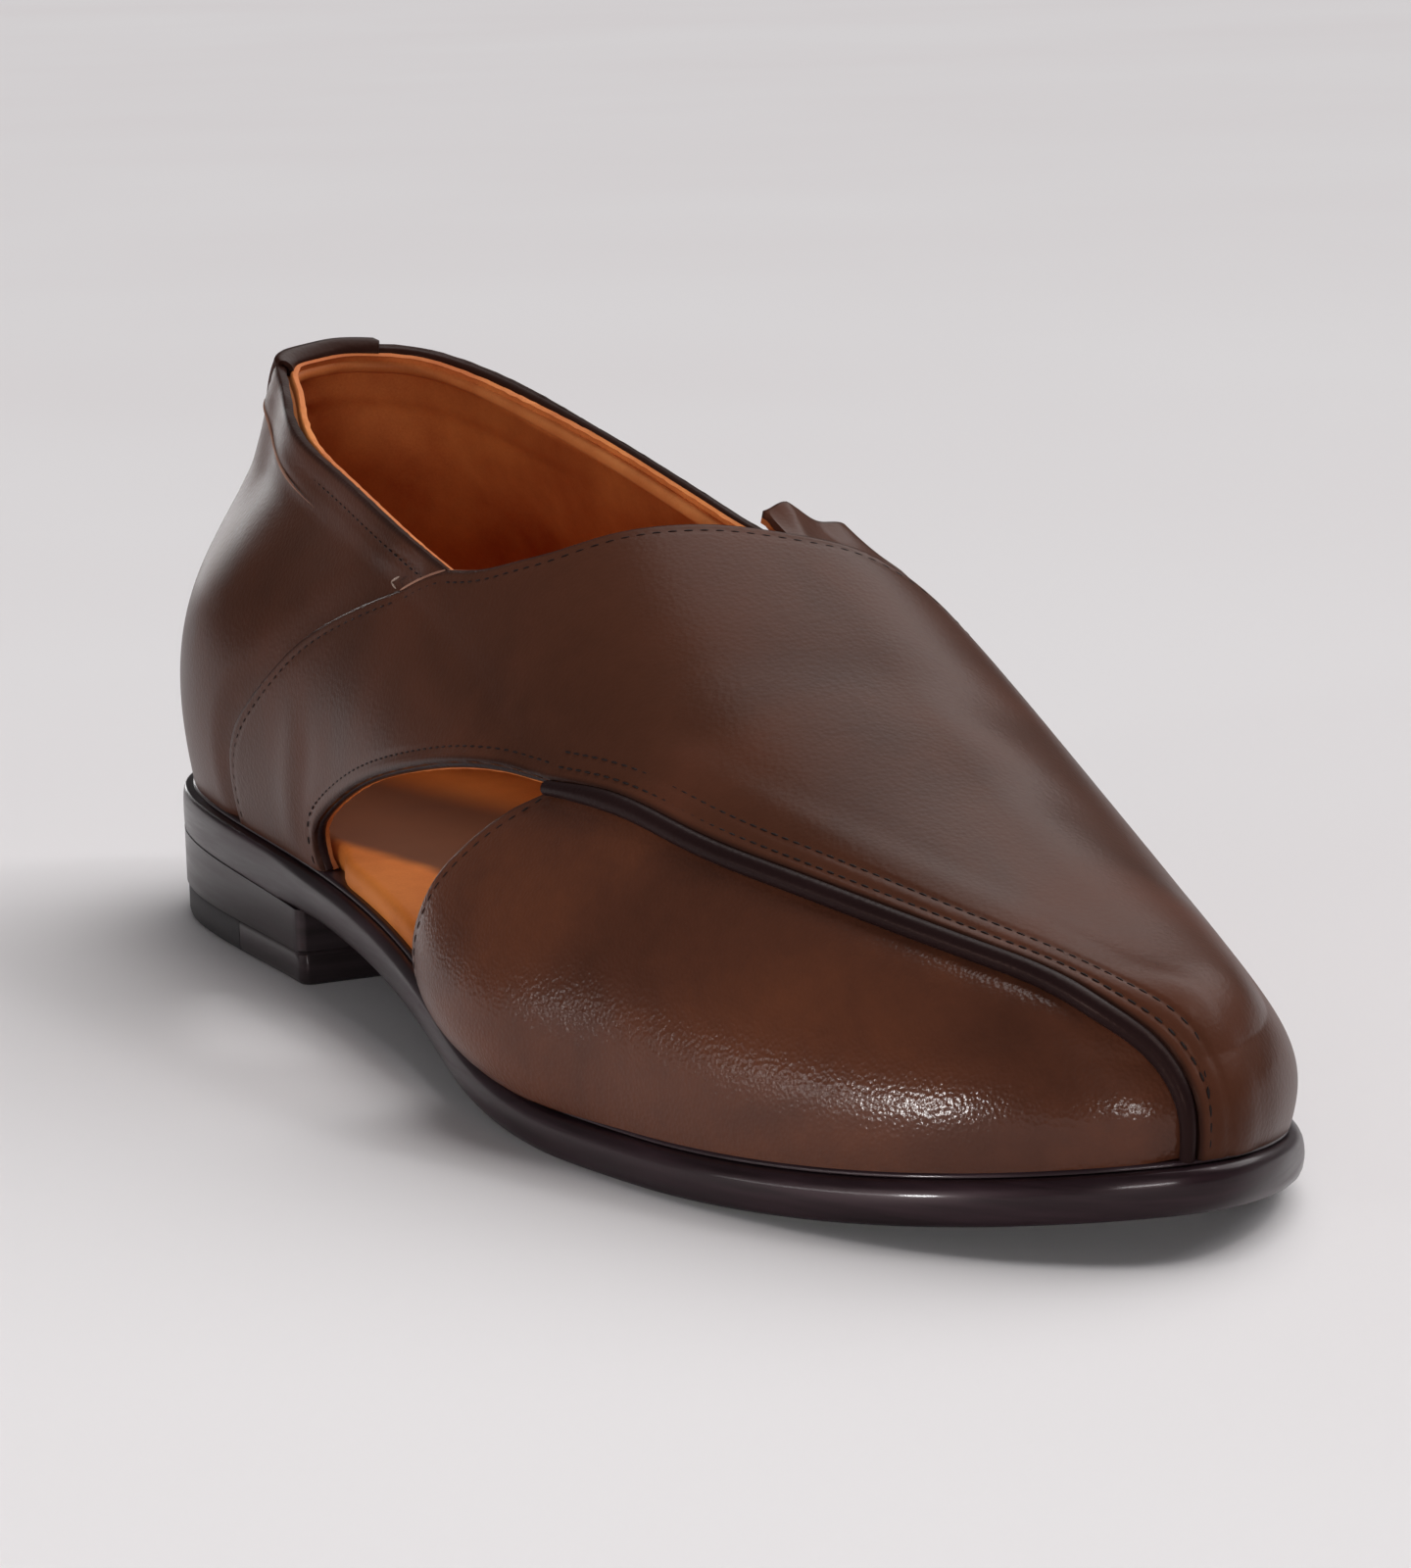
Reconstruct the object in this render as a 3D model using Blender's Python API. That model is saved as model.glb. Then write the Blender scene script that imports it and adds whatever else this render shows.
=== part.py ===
"""Peshawari chappal, right shoe: crossed-panel leather upper on a low-heeled leather sole.

The toe points along +X, the wearer's left (the medial side of a right shoe) along +Y, up is +Z.
Every size is in millimetres here and is turned into metres by MM.
"""

import math

import bmesh
import bpy
import numpy as np
from mathutils import Vector

MM = 0.001

# ---------------------------------------------------------------- driving sizes
LENGTH = 300.0            # outsole, heel to toe
HEEL_BACK = 15.5          # height of the heel under the sole at its back
HEEL_FRONT = 12.2         # and at its breast
HEEL_LENGTH = 88.0        # back of the heel to its straight breast
SEAT_LENGTH = 85.0        # the seat falls evenly over this length
TREAD_BACK, TREAD_FRONT = 209.0, 226.0   # the flat spot that the forefoot stands on
TOE_SPRING = 6.6
TOE_CURVE = 2.1           # power by which the toe lifts off the floor
ARCH_FULNESS = 0.16       # how far the waist stays up between heel and tread
OUTSOLE_SEAT, OUTSOLE_FORE = 5.0, 4.3    # outsole thickness
THIN_FROM, THIN_OVER = 90.0, 100.0       # where it thins from the one to the other
OUTSOLE_ROUND = (1.0, 0.8)               # how far its bottom and top rims stand in
EDGE_FLAT = (0.30, 0.70)                 # part of a rounded edge's height that stays upright
MIDSOLE = 2.0             # thin layer between outsole and upper, seen as a line
MIDSOLE_INSET = 0.8
INSOLE = 4.2
INSOLE_ROOM = 0.7         # between the insole's edge and the inside of the upper
WAIST_FROM, WAIST_TO, WAIST_STEP = 99.0, 163.0, 8.0   # where the insole widens to fill the cut-outs
WAIST_INSET = 2.6         # its edge there, in from the sole's edge
GAP = 0.3                 # between pieces that lie on each other
FEATHER_INSET = 2.2       # foot of the upper, in from the sole's edge
FLARE_AT, FLARE_HALF, FLARE_OUT = 202.0, 17.0, 1.4    # where and how far the vamp's foot comes out
WALL = 2.2                # upper leather with its lining
TOP_PIECE = 5.2           # lift under the heel block
HEEL_TAPER = 0.7          # heel, in from the sole's edge at the floor
LIFT_SPLIT = ((58.0, -34.0), (40.0, 32.0))   # slanting joint across the top piece
STRIP_FOOT, STRIP_TOP = 10.0, 8.6   # half widths of the back strip
STRIP_THICK = 1.0
STRIP_OFF = 1.5           # its middle, towards the lateral side of the middle line
STRIP_BASE, STRIP_HEAD = 23.2, 92.7      # its lower and upper ends
STRIP_SHARE = 0.23        # share of the last's length that the strip is cut from
HEEL_SHARE = 0.42         # share of the sole's length that the heel's slabs are cut from
HEEL_INSET = 0.3          # heel block under the sole's edge

# One row per section: the sole's half widths, the ridge of the last over it, how full each side is
# (1 is an ellipse, less is squarer, more is hollower), how far each side bulges past its foot, how far
# the vamp's free lateral edge flares over the sole, how hollow the last is between counter and top, and
# how far the medial wall stands out over the narrow waist.
COLUMNS = ("x", "lateral", "medial", "ridge_y", "ridge_z", "full_lat", "full_med", "bulge_lat", "bulge_med",
           "flare", "hollow", "wall_med")
SECTIONS = [
    (0.0, 0.0, 0.0, -0.2, 106.5, 1.12, 1.10, 2.2, 2.6, 0.0, 3.2, 0.0),
    (4.0, -14.0, 14.0, -0.2, 106.5, 1.10, 1.08, 2.1, 2.5, 0.0, 3.2, 0.0),
    (10.0, -23.0, 22.8, -0.2, 106.5, 1.10, 1.05, 2.1, 2.4, 0.0, 3.2, 0.0),
    (20.0, -29.8, 29.4, -0.2, 106.5, 1.27, 1.00, 2.5, 2.4, 0.0, 3.2, 0.0),
    (35.0, -33.8, 32.6, -0.2, 106.5, 1.30, 0.90, 4.0, 2.6, 0.0, 3.2, 0.8),
    (55.0, -35.4, 32.0, -0.4, 105.2, 0.94, 0.76, 4.8, 3.0, 0.0, 2.6, 2.4),
    (75.0, -36.0, 29.4, -0.4, 102.7, 0.84, 0.66, 3.8, 3.0, 0.0, 1.6, 4.4),
    (95.0, -37.0, 26.6, -0.1, 99.8, 0.78, 0.58, 3.2, 3.0, 0.0, 0.7, 5.8),
    (115.0, -38.6, 25.6, 0.7, 96.3, 0.77, 0.56, 3.0, 3.0, 0.1, 0.2, 5.8),
    (135.0, -40.8, 29.2, 2.1, 91.7, 0.79, 0.58, 3.0, 3.0, 0.7, 0.0, 3.8),
    (155.0, -43.8, 36.2, 3.5, 86.0, 0.79, 0.65, 2.5, 2.9, 2.8, 0.0, 1.0),
    (175.0, -47.2, 44.4, 4.8, 78.2, 0.78, 0.76, 1.9, 2.2, 5.8, 0.0, 0.0),
    (195.0, -48.3, 48.4, 5.7, 68.7, 0.75, 0.90, 1.5, 1.9, 4.0, 0.0, 0.0),
    (215.0, -46.4, 48.2, 6.0, 59.3, 0.70, 1.03, 1.3, 1.9, 0.5, 0.0, 0.0),
    (235.0, -42.6, 45.2, 5.4, 50.5, 0.66, 1.07, 0.8, 1.7, 0.0, 0.0, 0.0),
    (253.0, -37.0, 39.8, 4.7, 43.6, 0.61, 0.98, 0.7, 1.7, 0.0, 0.0, 0.0),
    (268.0, -30.4, 33.8, 4.2, 38.6, 0.57, 0.82, 0.8, 1.8, 0.0, 0.0, 0.0),
    (281.0, -22.4, 27.0, 3.9, 35.0, 0.54, 0.66, 1.0, 1.7, 0.0, 0.0, 0.0),
    (290.0, -14.6, 19.6, 3.7, 33.6, 0.54, 0.58, 1.1, 1.5, 0.0, 0.0, 0.0),
    (296.0, -7.4, 12.6, 3.6, 33.2, 0.54, 0.55, 1.1, 1.3, 0.0, 0.0, 0.0),
    (300.0, 2.5, 2.5, 3.6, 33.0, 0.54, 0.54, 1.1, 1.1, 0.0, 0.0, 0.0),
]
HEEL_POINT, TOE_POINT = 40.0, 284.0     # the end sections fan about these two points of the ridge
HEEL_FAN, TOE_FAN = 14.0, 6.0           # how softly the fans begin
TOE_DROOP = 0.2           # fall of the ridge beyond its last point
DROOP_FROM, DROOP_OVER = 270.0, 20.0
CROWN_BLEND = 16.0        # width over which a side's fulness gives way to the other's
BELT = 0.62               # height on the sides, as a share of the rise, where they bulge or go hollow
BELT_HALF = 0.17

# Side outlines of the openings, as (x, z), run forward then back. The collar's is at the middle line: each
# of its points slides forward towards the medial side by LEAN per millimetre, as the throat edges cross.
COLLAR = [(24, 92.2), (30, 90.4), (37, 88.7), (50, 85.9), (68, 82.5), (90, 78.8), (113, 75.0), (127, 72.2),
          (137, 70.5), (141, 70.6), (149, 71.7), (158, 73.6), (164.5, 75.7), (168.6, 77.5), (172, 79.2),
          (174, 80.6)]
LEAN = ((-20, 0.0), (24, 0.1), (60, 0.33), (100, 0.33), (130, 0.12), (147, 0.12), (168, 0.25))
CUTOUT_LAT = [(96.2, 19.0), (94.8, 22.4), (96.0, 25.6), (101, 29.0), (110, 33.1), (122, 37.5), (136.5, 41.7),
              (152, 45.2), (167, 47.9), (179, 48.9), (190.5, 48.6), (186, 45.2), (181.8, 41.8), (177.6, 37.6),
              (174, 33.3), (171.6, 29.0), (169.4, 24.0), (168.2, 19.0), (168.0, 12.0)]
CUTOUT_MED = [(96.2, 19.0), (94.8, 23.4), (96.0, 27.0), (101, 31.0), (110, 35.3), (122, 39.8), (136, 44.0),
              (151, 47.6), (166, 50.2), (178, 51.2), (189, 50.8), (184.5, 47.4), (180.2, 43.8), (176, 39.2),
              (172.4, 34.6), (170.0, 30.0), (168, 24.6), (167.0, 19.0), (166.8, 12.0)]

# Tools that cut the pieces reach past them by these sizes.
SIDE_REACH, ROOF, BEHIND, CUT_FLOOR = 80.0, 140.0, -20.0, 2.0
COLLAR_TOP = 92.6         # height of the collar at the back
CLEAR = 6.0               # a side cut-out's tool stops this far from the middle line
STRIP_REACH = (-12.0, 31.0)
HEEL_REACH = (-60.0, -10.0, 60.0)       # behind, below and above the heel
WELD = 2e-6               # metres

# Slot name, colour and roughness.
LEATHER = ("upper_leather", "3A241D", 0.42)
INSOLE_LEATHER = ("insole_leather", "C27A3A", 0.62)
EDGE_LEATHER = ("sole_edge_leather", "241D1F", 0.32)
HEEL_LEATHER = ("heel_leather", "272022", 0.35)
HEEL_RUBBER = ("heel_rubber", "1F1C1E", 0.55)


# ---------------------------------------------------------------- curves from the table
def cubic(xs, ys):
    """Natural cubic spline through the points, as a function of x."""
    xs, ys = np.asarray(xs, float), np.asarray(ys, float)
    n, h = len(xs), np.diff(xs)
    a, b = np.zeros((n, n)), np.zeros(n)
    a[0, 0] = a[-1, -1] = 1.0
    for i in range(1, n - 1):
        a[i, i - 1:i + 2] = h[i - 1], 2 * (h[i - 1] + h[i]), h[i]
        b[i] = 6 * ((ys[i + 1] - ys[i]) / h[i] - (ys[i] - ys[i - 1]) / h[i - 1])
    m = np.linalg.solve(a, b)

    def value(x):
        x = np.clip(np.asarray(x, float), xs[0], xs[-1])
        i = np.clip(np.searchsorted(xs, x) - 1, 0, n - 2)
        p, q = xs[i + 1] - x, x - xs[i]
        return ((m[i] * p**3 + m[i + 1] * q**3) / (6 * h[i])
                + (ys[i] / h[i] - m[i] * h[i] / 6) * p + (ys[i + 1] / h[i] - m[i + 1] * h[i] / 6) * q)
    return value


def column(name):
    i = COLUMNS.index(name)
    return [row[i] for row in SECTIONS]


SECTION = {name: cubic(column("x"), column(name)) for name in COLUMNS[3:]}


def outline_loop(count=960):
    """Points of the sole's edge, from the back of the heel round the lateral side, with outward normals."""
    rows = SECTIONS[1:-1]
    pts = ([(0.0, 0.0)] + [(r[0], r[1]) for r in rows] + [(LENGTH, SECTIONS[-1][1])]
           + [(r[0], r[2]) for r in reversed(rows)] + [(0.0, 0.0)])
    pts = np.array(pts[-4:-1] + pts + pts[1:4])
    s = np.concatenate([[0], np.cumsum(np.linalg.norm(np.diff(pts, axis=0), axis=1) ** 0.5)])
    fx, fy = cubic(s, pts[:, 0]), cubic(s, pts[:, 1])
    q = np.linspace(s[3], s[-4], count + 1)[:-1]
    p = np.stack([fx(q), fy(q)], -1)
    d = np.roll(p, -1, 0) - np.roll(p, 1, 0)
    d /= np.linalg.norm(d, axis=1)[:, None]
    return p, np.stack([d[:, 1], -d[:, 0]], -1)


EDGE, EDGE_NORMAL = outline_loop()


class Outline:
    """The sole's edge moved in by a distance, read by side and by fraction of its length."""

    def __init__(self, inset):
        p = EDGE - EDGE_NORMAL * np.reshape(inset(EDGE) if callable(inset) else inset, (-1, 1))
        toe = int(p[:, 0].argmax())
        heel = int(np.roll(p[:, 0], len(p) // 2).argmin()) - len(p) // 2
        ring = np.arange(len(p))
        lateral = p[(heel + ring[:(toe - heel) % len(p) + 1]) % len(p)]
        medial = p[(toe + ring[:(heel - toe) % len(p) + 1]) % len(p)][::-1]
        self.ends = p[heel % len(p)], p[toe]
        self.sides = {}
        for key, side in (("lateral", lateral), ("medial", medial)):
            x = np.maximum.accumulate(side[:, 0]) + np.arange(len(side)) * 1e-9
            self.sides[key] = x, side[:, 1]

    def point(self, side, fraction):
        x0, x1 = self.ends[0][0], self.ends[1][0]
        x = x0 + (x1 - x0) * fraction
        return x, float(np.interp(x, *self.sides[side]))


def sole_under(x):
    """Height of the outsole's underside along its length."""
    if x < SEAT_LENGTH:
        return HEEL_BACK + (HEEL_FRONT - HEEL_BACK) * x / SEAT_LENGTH
    if x < TREAD_BACK:
        span = TREAD_BACK - SEAT_LENGTH
        t = (x - SEAT_LENGTH) / span
        slope = (HEEL_FRONT - HEEL_BACK) / SEAT_LENGTH * span
        arch = ARCH_FULNESS * HEEL_FRONT * (4 * t * (1 - t)) ** 2
        fall = HEEL_FRONT * (1 - 3 * t**2 + 2 * t**3)
        return arch + fall + slope * (t - 2 * t**2 + t**3)
    if x <= TREAD_FRONT:
        return 0.0
    return TOE_SPRING * ((x - TREAD_FRONT) / (LENGTH - TREAD_FRONT)) ** TOE_CURVE


def outsole_top(x):
    thinned = min(max((x - THIN_FROM) / THIN_OVER, 0), 1)
    return sole_under(x) + OUTSOLE_SEAT + (OUTSOLE_FORE - OUTSOLE_SEAT) * thinned


def midsole_top(x):
    return outsole_top(x) + GAP + MIDSOLE


def fan(x):
    """Ridge position that the section rising from x leans to, held near the two end points."""
    x = 0.5 * (x + HEEL_POINT + math.hypot(x - HEEL_POINT, HEEL_FAN))
    x = 0.5 * (x + TOE_POINT - math.hypot(x - TOE_POINT, TOE_FAN))
    return min(max(x, HEEL_POINT), TOE_POINT)


def feather_inset(p):
    """The upper's foot stands in from the edge, less where the vamp flares over it."""
    flaring = np.exp(-((p[:, 0] - FLARE_AT) / FLARE_HALF) ** 2) * (p[:, 1] < 0)
    return FEATHER_INSET - FLARE_OUT * flaring


FEATHER = Outline(feather_inset)


def last_point(fraction, across, out=0.0):
    """A point outside on the upper: fraction runs heel to toe, across -1 lateral, 0 ridge, 1 medial."""
    side = "lateral" if across < 0 else "medial"
    fx, fy = FEATHER.point(side, fraction)
    cx = fan(fx)
    cy = float(SECTION["ridge_y"](cx))
    foot = midsole_top(fx) + GAP
    top = float(SECTION["ridge_z"](cx))
    blend = min(max((fy - cy) / CROWN_BLEND + 0.5, 0), 1)

    def both(name):
        return float(SECTION[name + "_lat"](fx)) * (1 - blend) + float(SECTION[name + "_med"](fx)) * blend

    fulness, bulge = both("full"), both("bulge")
    angle = (1 - abs(across)) * math.pi / 2
    rise = math.sin(angle)
    reach = math.hypot(fx - cx, fy - cy)
    low = min(rise / BELT, 1)
    radius = reach * max(math.cos(angle), 0) ** fulness + bulge * math.sin(math.pi * low) + out
    radius -= float(SECTION["hollow"](fx)) * math.exp(-((rise - BELT) / BELT_HALF) ** 2)
    if across < 0:
        radius += max(float(SECTION["flare"](fx)), 0) * math.sin(math.pi * low**0.5)
    else:
        radius += max(float(SECTION["wall_med"](fx)), 0) * math.sin(math.pi * rise)
    if abs(across) < 1e-6:
        radius = 0.0
    ahead = (fx - cx) / reach * radius
    droop = TOE_DROOP * max(ahead, 0) * rise * rise * min(max((fx - DROOP_FROM) / DROOP_OVER, 0), 1)
    return Vector((cx + ahead, cy + (fy - cy) / reach * radius,
                   foot + (top - foot) * rise + out * rise**3 - droop)) * MM


# ---------------------------------------------------------------- building helpers
def clear_scene():
    for obj in list(bpy.data.objects):
        bpy.data.objects.remove(obj, do_unlink=True)


def colour(hex_code):
    parts = [int(hex_code[i:i + 2], 16) / 255 for i in (0, 2, 4)]
    return [c / 12.92 if c <= 0.04045 else ((c + 0.055) / 1.055) ** 2.4 for c in parts] + [1.0]


def material(name, hex_code, roughness):
    mat = bpy.data.materials.get(name) or bpy.data.materials.new(name)
    mat.use_nodes = True
    shader = mat.node_tree.nodes["Principled BSDF"]
    shader.inputs["Base Color"].default_value = colour(hex_code)
    shader.inputs["Roughness"].default_value = roughness
    mat.diffuse_color = colour(hex_code)
    return mat


def sheet(bm, rows, cols, place):
    """A grid of rows by cols faces, each corner put where place(u, v) says, with u and v from 0 to 1."""
    made = bmesh.ops.create_grid(bm, x_segments=rows, y_segments=cols, size=0.5)["verts"]
    for vert in made:
        vert.co = place(vert.co.x + 0.5, vert.co.y + 0.5)


def weld(bm):
    """Joins the sheets' edges and turns their faces out."""
    bmesh.ops.remove_doubles(bm, verts=bm.verts, dist=WELD)
    bmesh.ops.dissolve_degenerate(bm, edges=bm.edges, dist=WELD)
    bmesh.ops.recalc_face_normals(bm, faces=bm.faces)


def finish(bm, name, finish_of, sharp=40.0):
    """Welds the sheets into one closed body facing out and makes the object."""
    weld(bm)
    mesh = bpy.data.meshes.new(name)
    bm.to_mesh(mesh)
    bm.free()
    mesh.shade_smooth()
    mesh.set_sharp_from_angle(angle=math.radians(sharp))
    obj = bpy.data.objects.new(name, mesh)
    bpy.context.scene.collection.objects.link(obj)
    if finish_of:
        mesh.materials.append(material(*finish_of))
    return obj


def cutter(obj):
    obj.hide_render = True
    obj.display_type = "WIRE"
    return obj


def boolean(obj, tool, operation="DIFFERENCE"):
    mod = obj.modifiers.new(operation.title(), "BOOLEAN")
    mod.operation, mod.solver, mod.object = operation, "EXACT", tool
    return mod


def even(fraction):
    """Station spacing that gathers towards both ends, so that the rounded ends keep their shape."""
    return 0.5 - 0.5 * math.cos(math.pi * fraction)


def prism(name, outline, axis, start, stop, lean=()):
    """A closed prism over a flat outline: axis Y takes (x, z) points, axis X (y, z), axis Z (x, y). With
    lean, a table of (x, slope), each point moves in x by its slope for every millimetre of y."""
    bm = bmesh.new()
    order = {"X": lambda a, b, c: (c, a, b),
             "Y": lambda a, b, c: (a, c, b),
             "Z": lambda a, b, c: (a, b, c)}[axis]
    verts = [bm.verts.new(Vector(order(a, b, start)) * MM) for a, b in outline]
    face = bm.faces.new(verts)
    made = bmesh.ops.extrude_face_region(bm, geom=[face])["geom"]
    shift = Vector(order(0, 0, stop - start)) * MM
    bmesh.ops.translate(bm, vec=shift, verts=[g for g in made if isinstance(g, bmesh.types.BMVert)])
    for vert in bm.verts if lean else ():
        vert.co.x += vert.co.y * float(np.interp(vert.co.x / MM, *zip(*lean)))
    return cutter(finish(bm, name, None))


def smooth_run(points, steps):
    """More points along a run, on a curve through the given ones."""
    p = np.array(points, float)
    s = np.concatenate([[0], np.cumsum(np.linalg.norm(np.diff(p, axis=0), axis=1))])
    fx, fy = cubic(s, p[:, 0]), cubic(s, p[:, 1])
    return [(float(fx(q)), float(fy(q))) for q in np.linspace(0, s[-1], steps)]


def layer(name, finish_of, inset, under, over, stations=44, across=8, edge=(0.0, 0.0)):
    """A plate that follows the sole: inset outline, under and over heights by x, edge is how far the bottom
    and the top rims stand in from the widest line, which makes a rounded edge."""
    def rim(extra):
        return Outline((lambda p: inset(p) + extra) if callable(inset) else inset + extra)

    low, wide, high = rim(edge[0]), rim(0.0), rim(edge[1])

    def at(ring, side, fraction, level):
        x, y = ring.point(side, fraction)
        return Vector((x, y, under(x) + (over(x) - under(x)) * level)) * MM

    bm = bmesh.new()
    for ring, level in ((low, 0.0), (high, 1.0)):
        sheet(bm, stations, across, lambda u, v, ring=ring, level=level:
              at(ring, "lateral", even(u), level).lerp(at(ring, "medial", even(u), level), v))
    rounded = edge != (0.0, 0.0)
    for side in ("lateral", "medial"):
        if not rounded:
            sheet(bm, stations, 1, lambda u, v, side=side: at(low, side, even(u), 0.0).lerp(
                at(high, side, even(u), 1.0), v))
            continue
        steps = [(low, 0.0), (wide, EDGE_FLAT[0]), (wide, EDGE_FLAT[1]), (high, 1.0)]
        for (a, la), (b, lb) in zip(steps, steps[1:]):
            sheet(bm, stations, 1, lambda u, v, side=side, a=a, la=la, b=b, lb=lb:
                  at(a, side, even(u), la).lerp(at(b, side, even(u), lb), v))
    return finish(bm, name, finish_of)


# ---------------------------------------------------------------- the pieces
def make_upper():
    """The hollow upper: the last's surface, given the leather's thickness inwards, then cut open."""
    bm = bmesh.new()
    sheet(bm, 56, 28, lambda u, v: last_point(even(u), 2 * v - 1))
    weld(bm)
    bmesh.ops.solidify(bm, geom=bm.faces[:], thickness=WALL * MM)
    upper = finish(bm, "upper", LEATHER)
    collar = smooth_run(COLLAR, 36)
    throat = COLLAR[-1][0]
    opening = [(BEHIND, COLLAR_TOP)] + collar + [(throat, ROOF), (BEHIND, ROOF)]
    boolean(upper, prism("cut_collar", opening, "Y", -SIDE_REACH, SIDE_REACH, LEAN))
    boolean(upper, prism("cut_lateral", side_opening(CUTOUT_LAT), "Y", -SIDE_REACH, -CLEAR))
    boolean(upper, prism("cut_medial", side_opening(CUTOUT_MED), "Y", CLEAR, SIDE_REACH))
    return upper


def side_opening(points):
    """Closed outline of a side cut-out: its top run, its front run, then down below the feather line."""
    tip = max(range(len(points)), key=lambda i: points[i][0])
    top, front = smooth_run(points[:tip + 1], 20), smooth_run(points[tip:], 12)
    return top + front[1:] + [(points[-1][0], CUT_FLOOR), (points[0][0], CUT_FLOOR)]


def make_back_strip():
    """The strip over the back seam: a thin shell just outside the upper, kept only across the back."""
    bm = bmesh.new()
    sheet(bm, 12, 40, lambda u, v: last_point(even(STRIP_SHARE * u), 2 * v - 1, GAP + STRIP_THICK))
    weld(bm)
    bmesh.ops.solidify(bm, geom=bm.faces[:], thickness=STRIP_THICK * MM)
    strip = finish(bm, "back_strip", LEATHER)
    band = [(-STRIP_FOOT - STRIP_OFF, STRIP_BASE), (STRIP_FOOT - STRIP_OFF, STRIP_BASE),
            (STRIP_TOP - STRIP_OFF, STRIP_HEAD), (-STRIP_TOP - STRIP_OFF, STRIP_HEAD)]
    boolean(strip, prism("keep_strip", band, "X", *STRIP_REACH), "INTERSECT")
    return strip


def insole_inset(p):
    """The insole lies inside the upper's wall, and reaches nearer the edge where a cut-out shows it."""
    x = p[:, 0]
    inside = FEATHER_INSET + WALL + INSOLE_ROOM
    step = np.clip((x - WAIST_FROM) / WAIST_STEP, 0, 1) * np.clip((WAIST_TO - x) / WAIST_STEP, 0, 1)
    step = step * step * (3 - 2 * step)
    return inside - (inside - WAIST_INSET) * step


def make_soles():
    layer("outsole", EDGE_LEATHER, 0.0, sole_under, outsole_top, stations=60, across=4,
          edge=OUTSOLE_ROUND)
    layer("midsole", EDGE_LEATHER, MIDSOLE_INSET, lambda x: outsole_top(x) + GAP, midsole_top,
          stations=52, across=4)
    layer("insole", INSOLE_LEATHER, insole_inset, lambda x: midsole_top(x) + GAP,
          lambda x: midsole_top(x) + GAP + INSOLE, stations=56, across=4)


def heel_slab(name, finish_of, floor, roof, inset):
    """A slab with the heel's outline, open to be cut to its breast."""
    bm = bmesh.new()
    lower, upper_ring = Outline(inset[0]), Outline(inset[1])

    def at(ring, side, u, height):
        x, y = ring.point(side, even(u * HEEL_SHARE))
        return Vector((x, y, height(x))) * MM

    for ring, height in ((lower, floor), (upper_ring, roof)):
        sheet(bm, 22, 4, lambda u, v, ring=ring, height=height:
              at(ring, "lateral", u, height).lerp(at(ring, "medial", u, height), v))
    for side in ("lateral", "medial"):
        sheet(bm, 22, 1, lambda u, v, side=side:
              at(lower, side, u, floor).lerp(at(upper_ring, side, u, roof), v))
    sheet(bm, 4, 1, lambda u, v: at(lower, "lateral", 1, floor).lerp(at(lower, "medial", 1, floor), u).lerp(
        at(upper_ring, "lateral", 1, roof).lerp(at(upper_ring, "medial", 1, roof), u), v))
    return finish(bm, name, finish_of)


def make_heel():
    """The stacked block under the seat and the two-part lift below it."""
    at_lift = HEEL_INSET + HEEL_TAPER * (1 - TOP_PIECE / HEEL_BACK)
    at_floor = HEEL_INSET + HEEL_TAPER
    block = heel_slab("heel_block", HEEL_LEATHER, lambda x: TOP_PIECE + GAP,
                      lambda x: sole_under(x) - GAP, (at_lift, HEEL_INSET))
    rear = heel_slab("heel_top_piece", HEEL_RUBBER, lambda x: 0.0, lambda x: TOP_PIECE, (at_floor, at_lift))
    front = heel_slab("heel_top_front", HEEL_LEATHER, lambda x: 0.0, lambda x: TOP_PIECE, (at_floor, at_lift))
    behind, below, above = HEEL_REACH
    side = SIDE_REACH
    (xa, ya), (xb, yb) = LIFT_SPLIT
    slope = (xb - xa) / (yb - ya)

    def split(y, off):
        return xa + slope * (y - ya) + off

    breast = [(HEEL_LENGTH, -side), (LENGTH, -side), (LENGTH, side), (HEEL_LENGTH, side)]
    ahead = prism("cut_breast", breast, "Z", below, above)
    for piece in (block, front):
        boolean(piece, ahead)
    fore = [(split(-side, -GAP / 2), -side), (LENGTH, -side), (LENGTH, side), (split(side, -GAP / 2), side)]
    boolean(rear, prism("cut_lift_front", fore, "Z", below, above))
    aft = [(behind, -side), (split(-side, GAP / 2), -side), (split(side, GAP / 2), side), (behind, side)]
    boolean(front, prism("cut_lift_rear", aft, "Z", below, above))


def centre_on_floor():
    """Moves everything so that the middle of the shoe's box is over the origin."""
    bpy.context.view_layer.update()
    graph = bpy.context.evaluated_depsgraph_get()
    corners = []
    for obj in bpy.context.scene.objects:
        if not obj.hide_render:
            mesh = obj.evaluated_get(graph).to_mesh()
            corners += [v.co.copy() for v in mesh.vertices]
            obj.evaluated_get(graph).to_mesh_clear()
    low = [min(c[i] for c in corners) for i in range(3)]
    high = [max(c[i] for c in corners) for i in range(3)]
    shift = Vector((-(low[0] + high[0]) / 2, -(low[1] + high[1]) / 2, -low[2]))
    for obj in bpy.context.scene.objects:
        for vert in obj.data.vertices:
            vert.co += shift


def main():
    clear_scene()
    make_soles()
    make_heel()
    make_upper()
    make_back_strip()
    centre_on_floor()


main()
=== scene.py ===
"""Looks of a peshawari chappal, one right shoe: leather panels over a last, lining, stitching, sole and heel.

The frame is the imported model's: the toe points along +X, the medial side is +Y, up is +Z, in metres.
Sizes of the shoe are in millimetres from the back of the heel, and Last.place turns them into that frame.
"""

import logging
import math
from collections.abc import Callable, Sequence
from dataclasses import dataclass
from enum import Enum

import bmesh
import bpy
import numpy as np
from mathutils import Matrix, Vector


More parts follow.
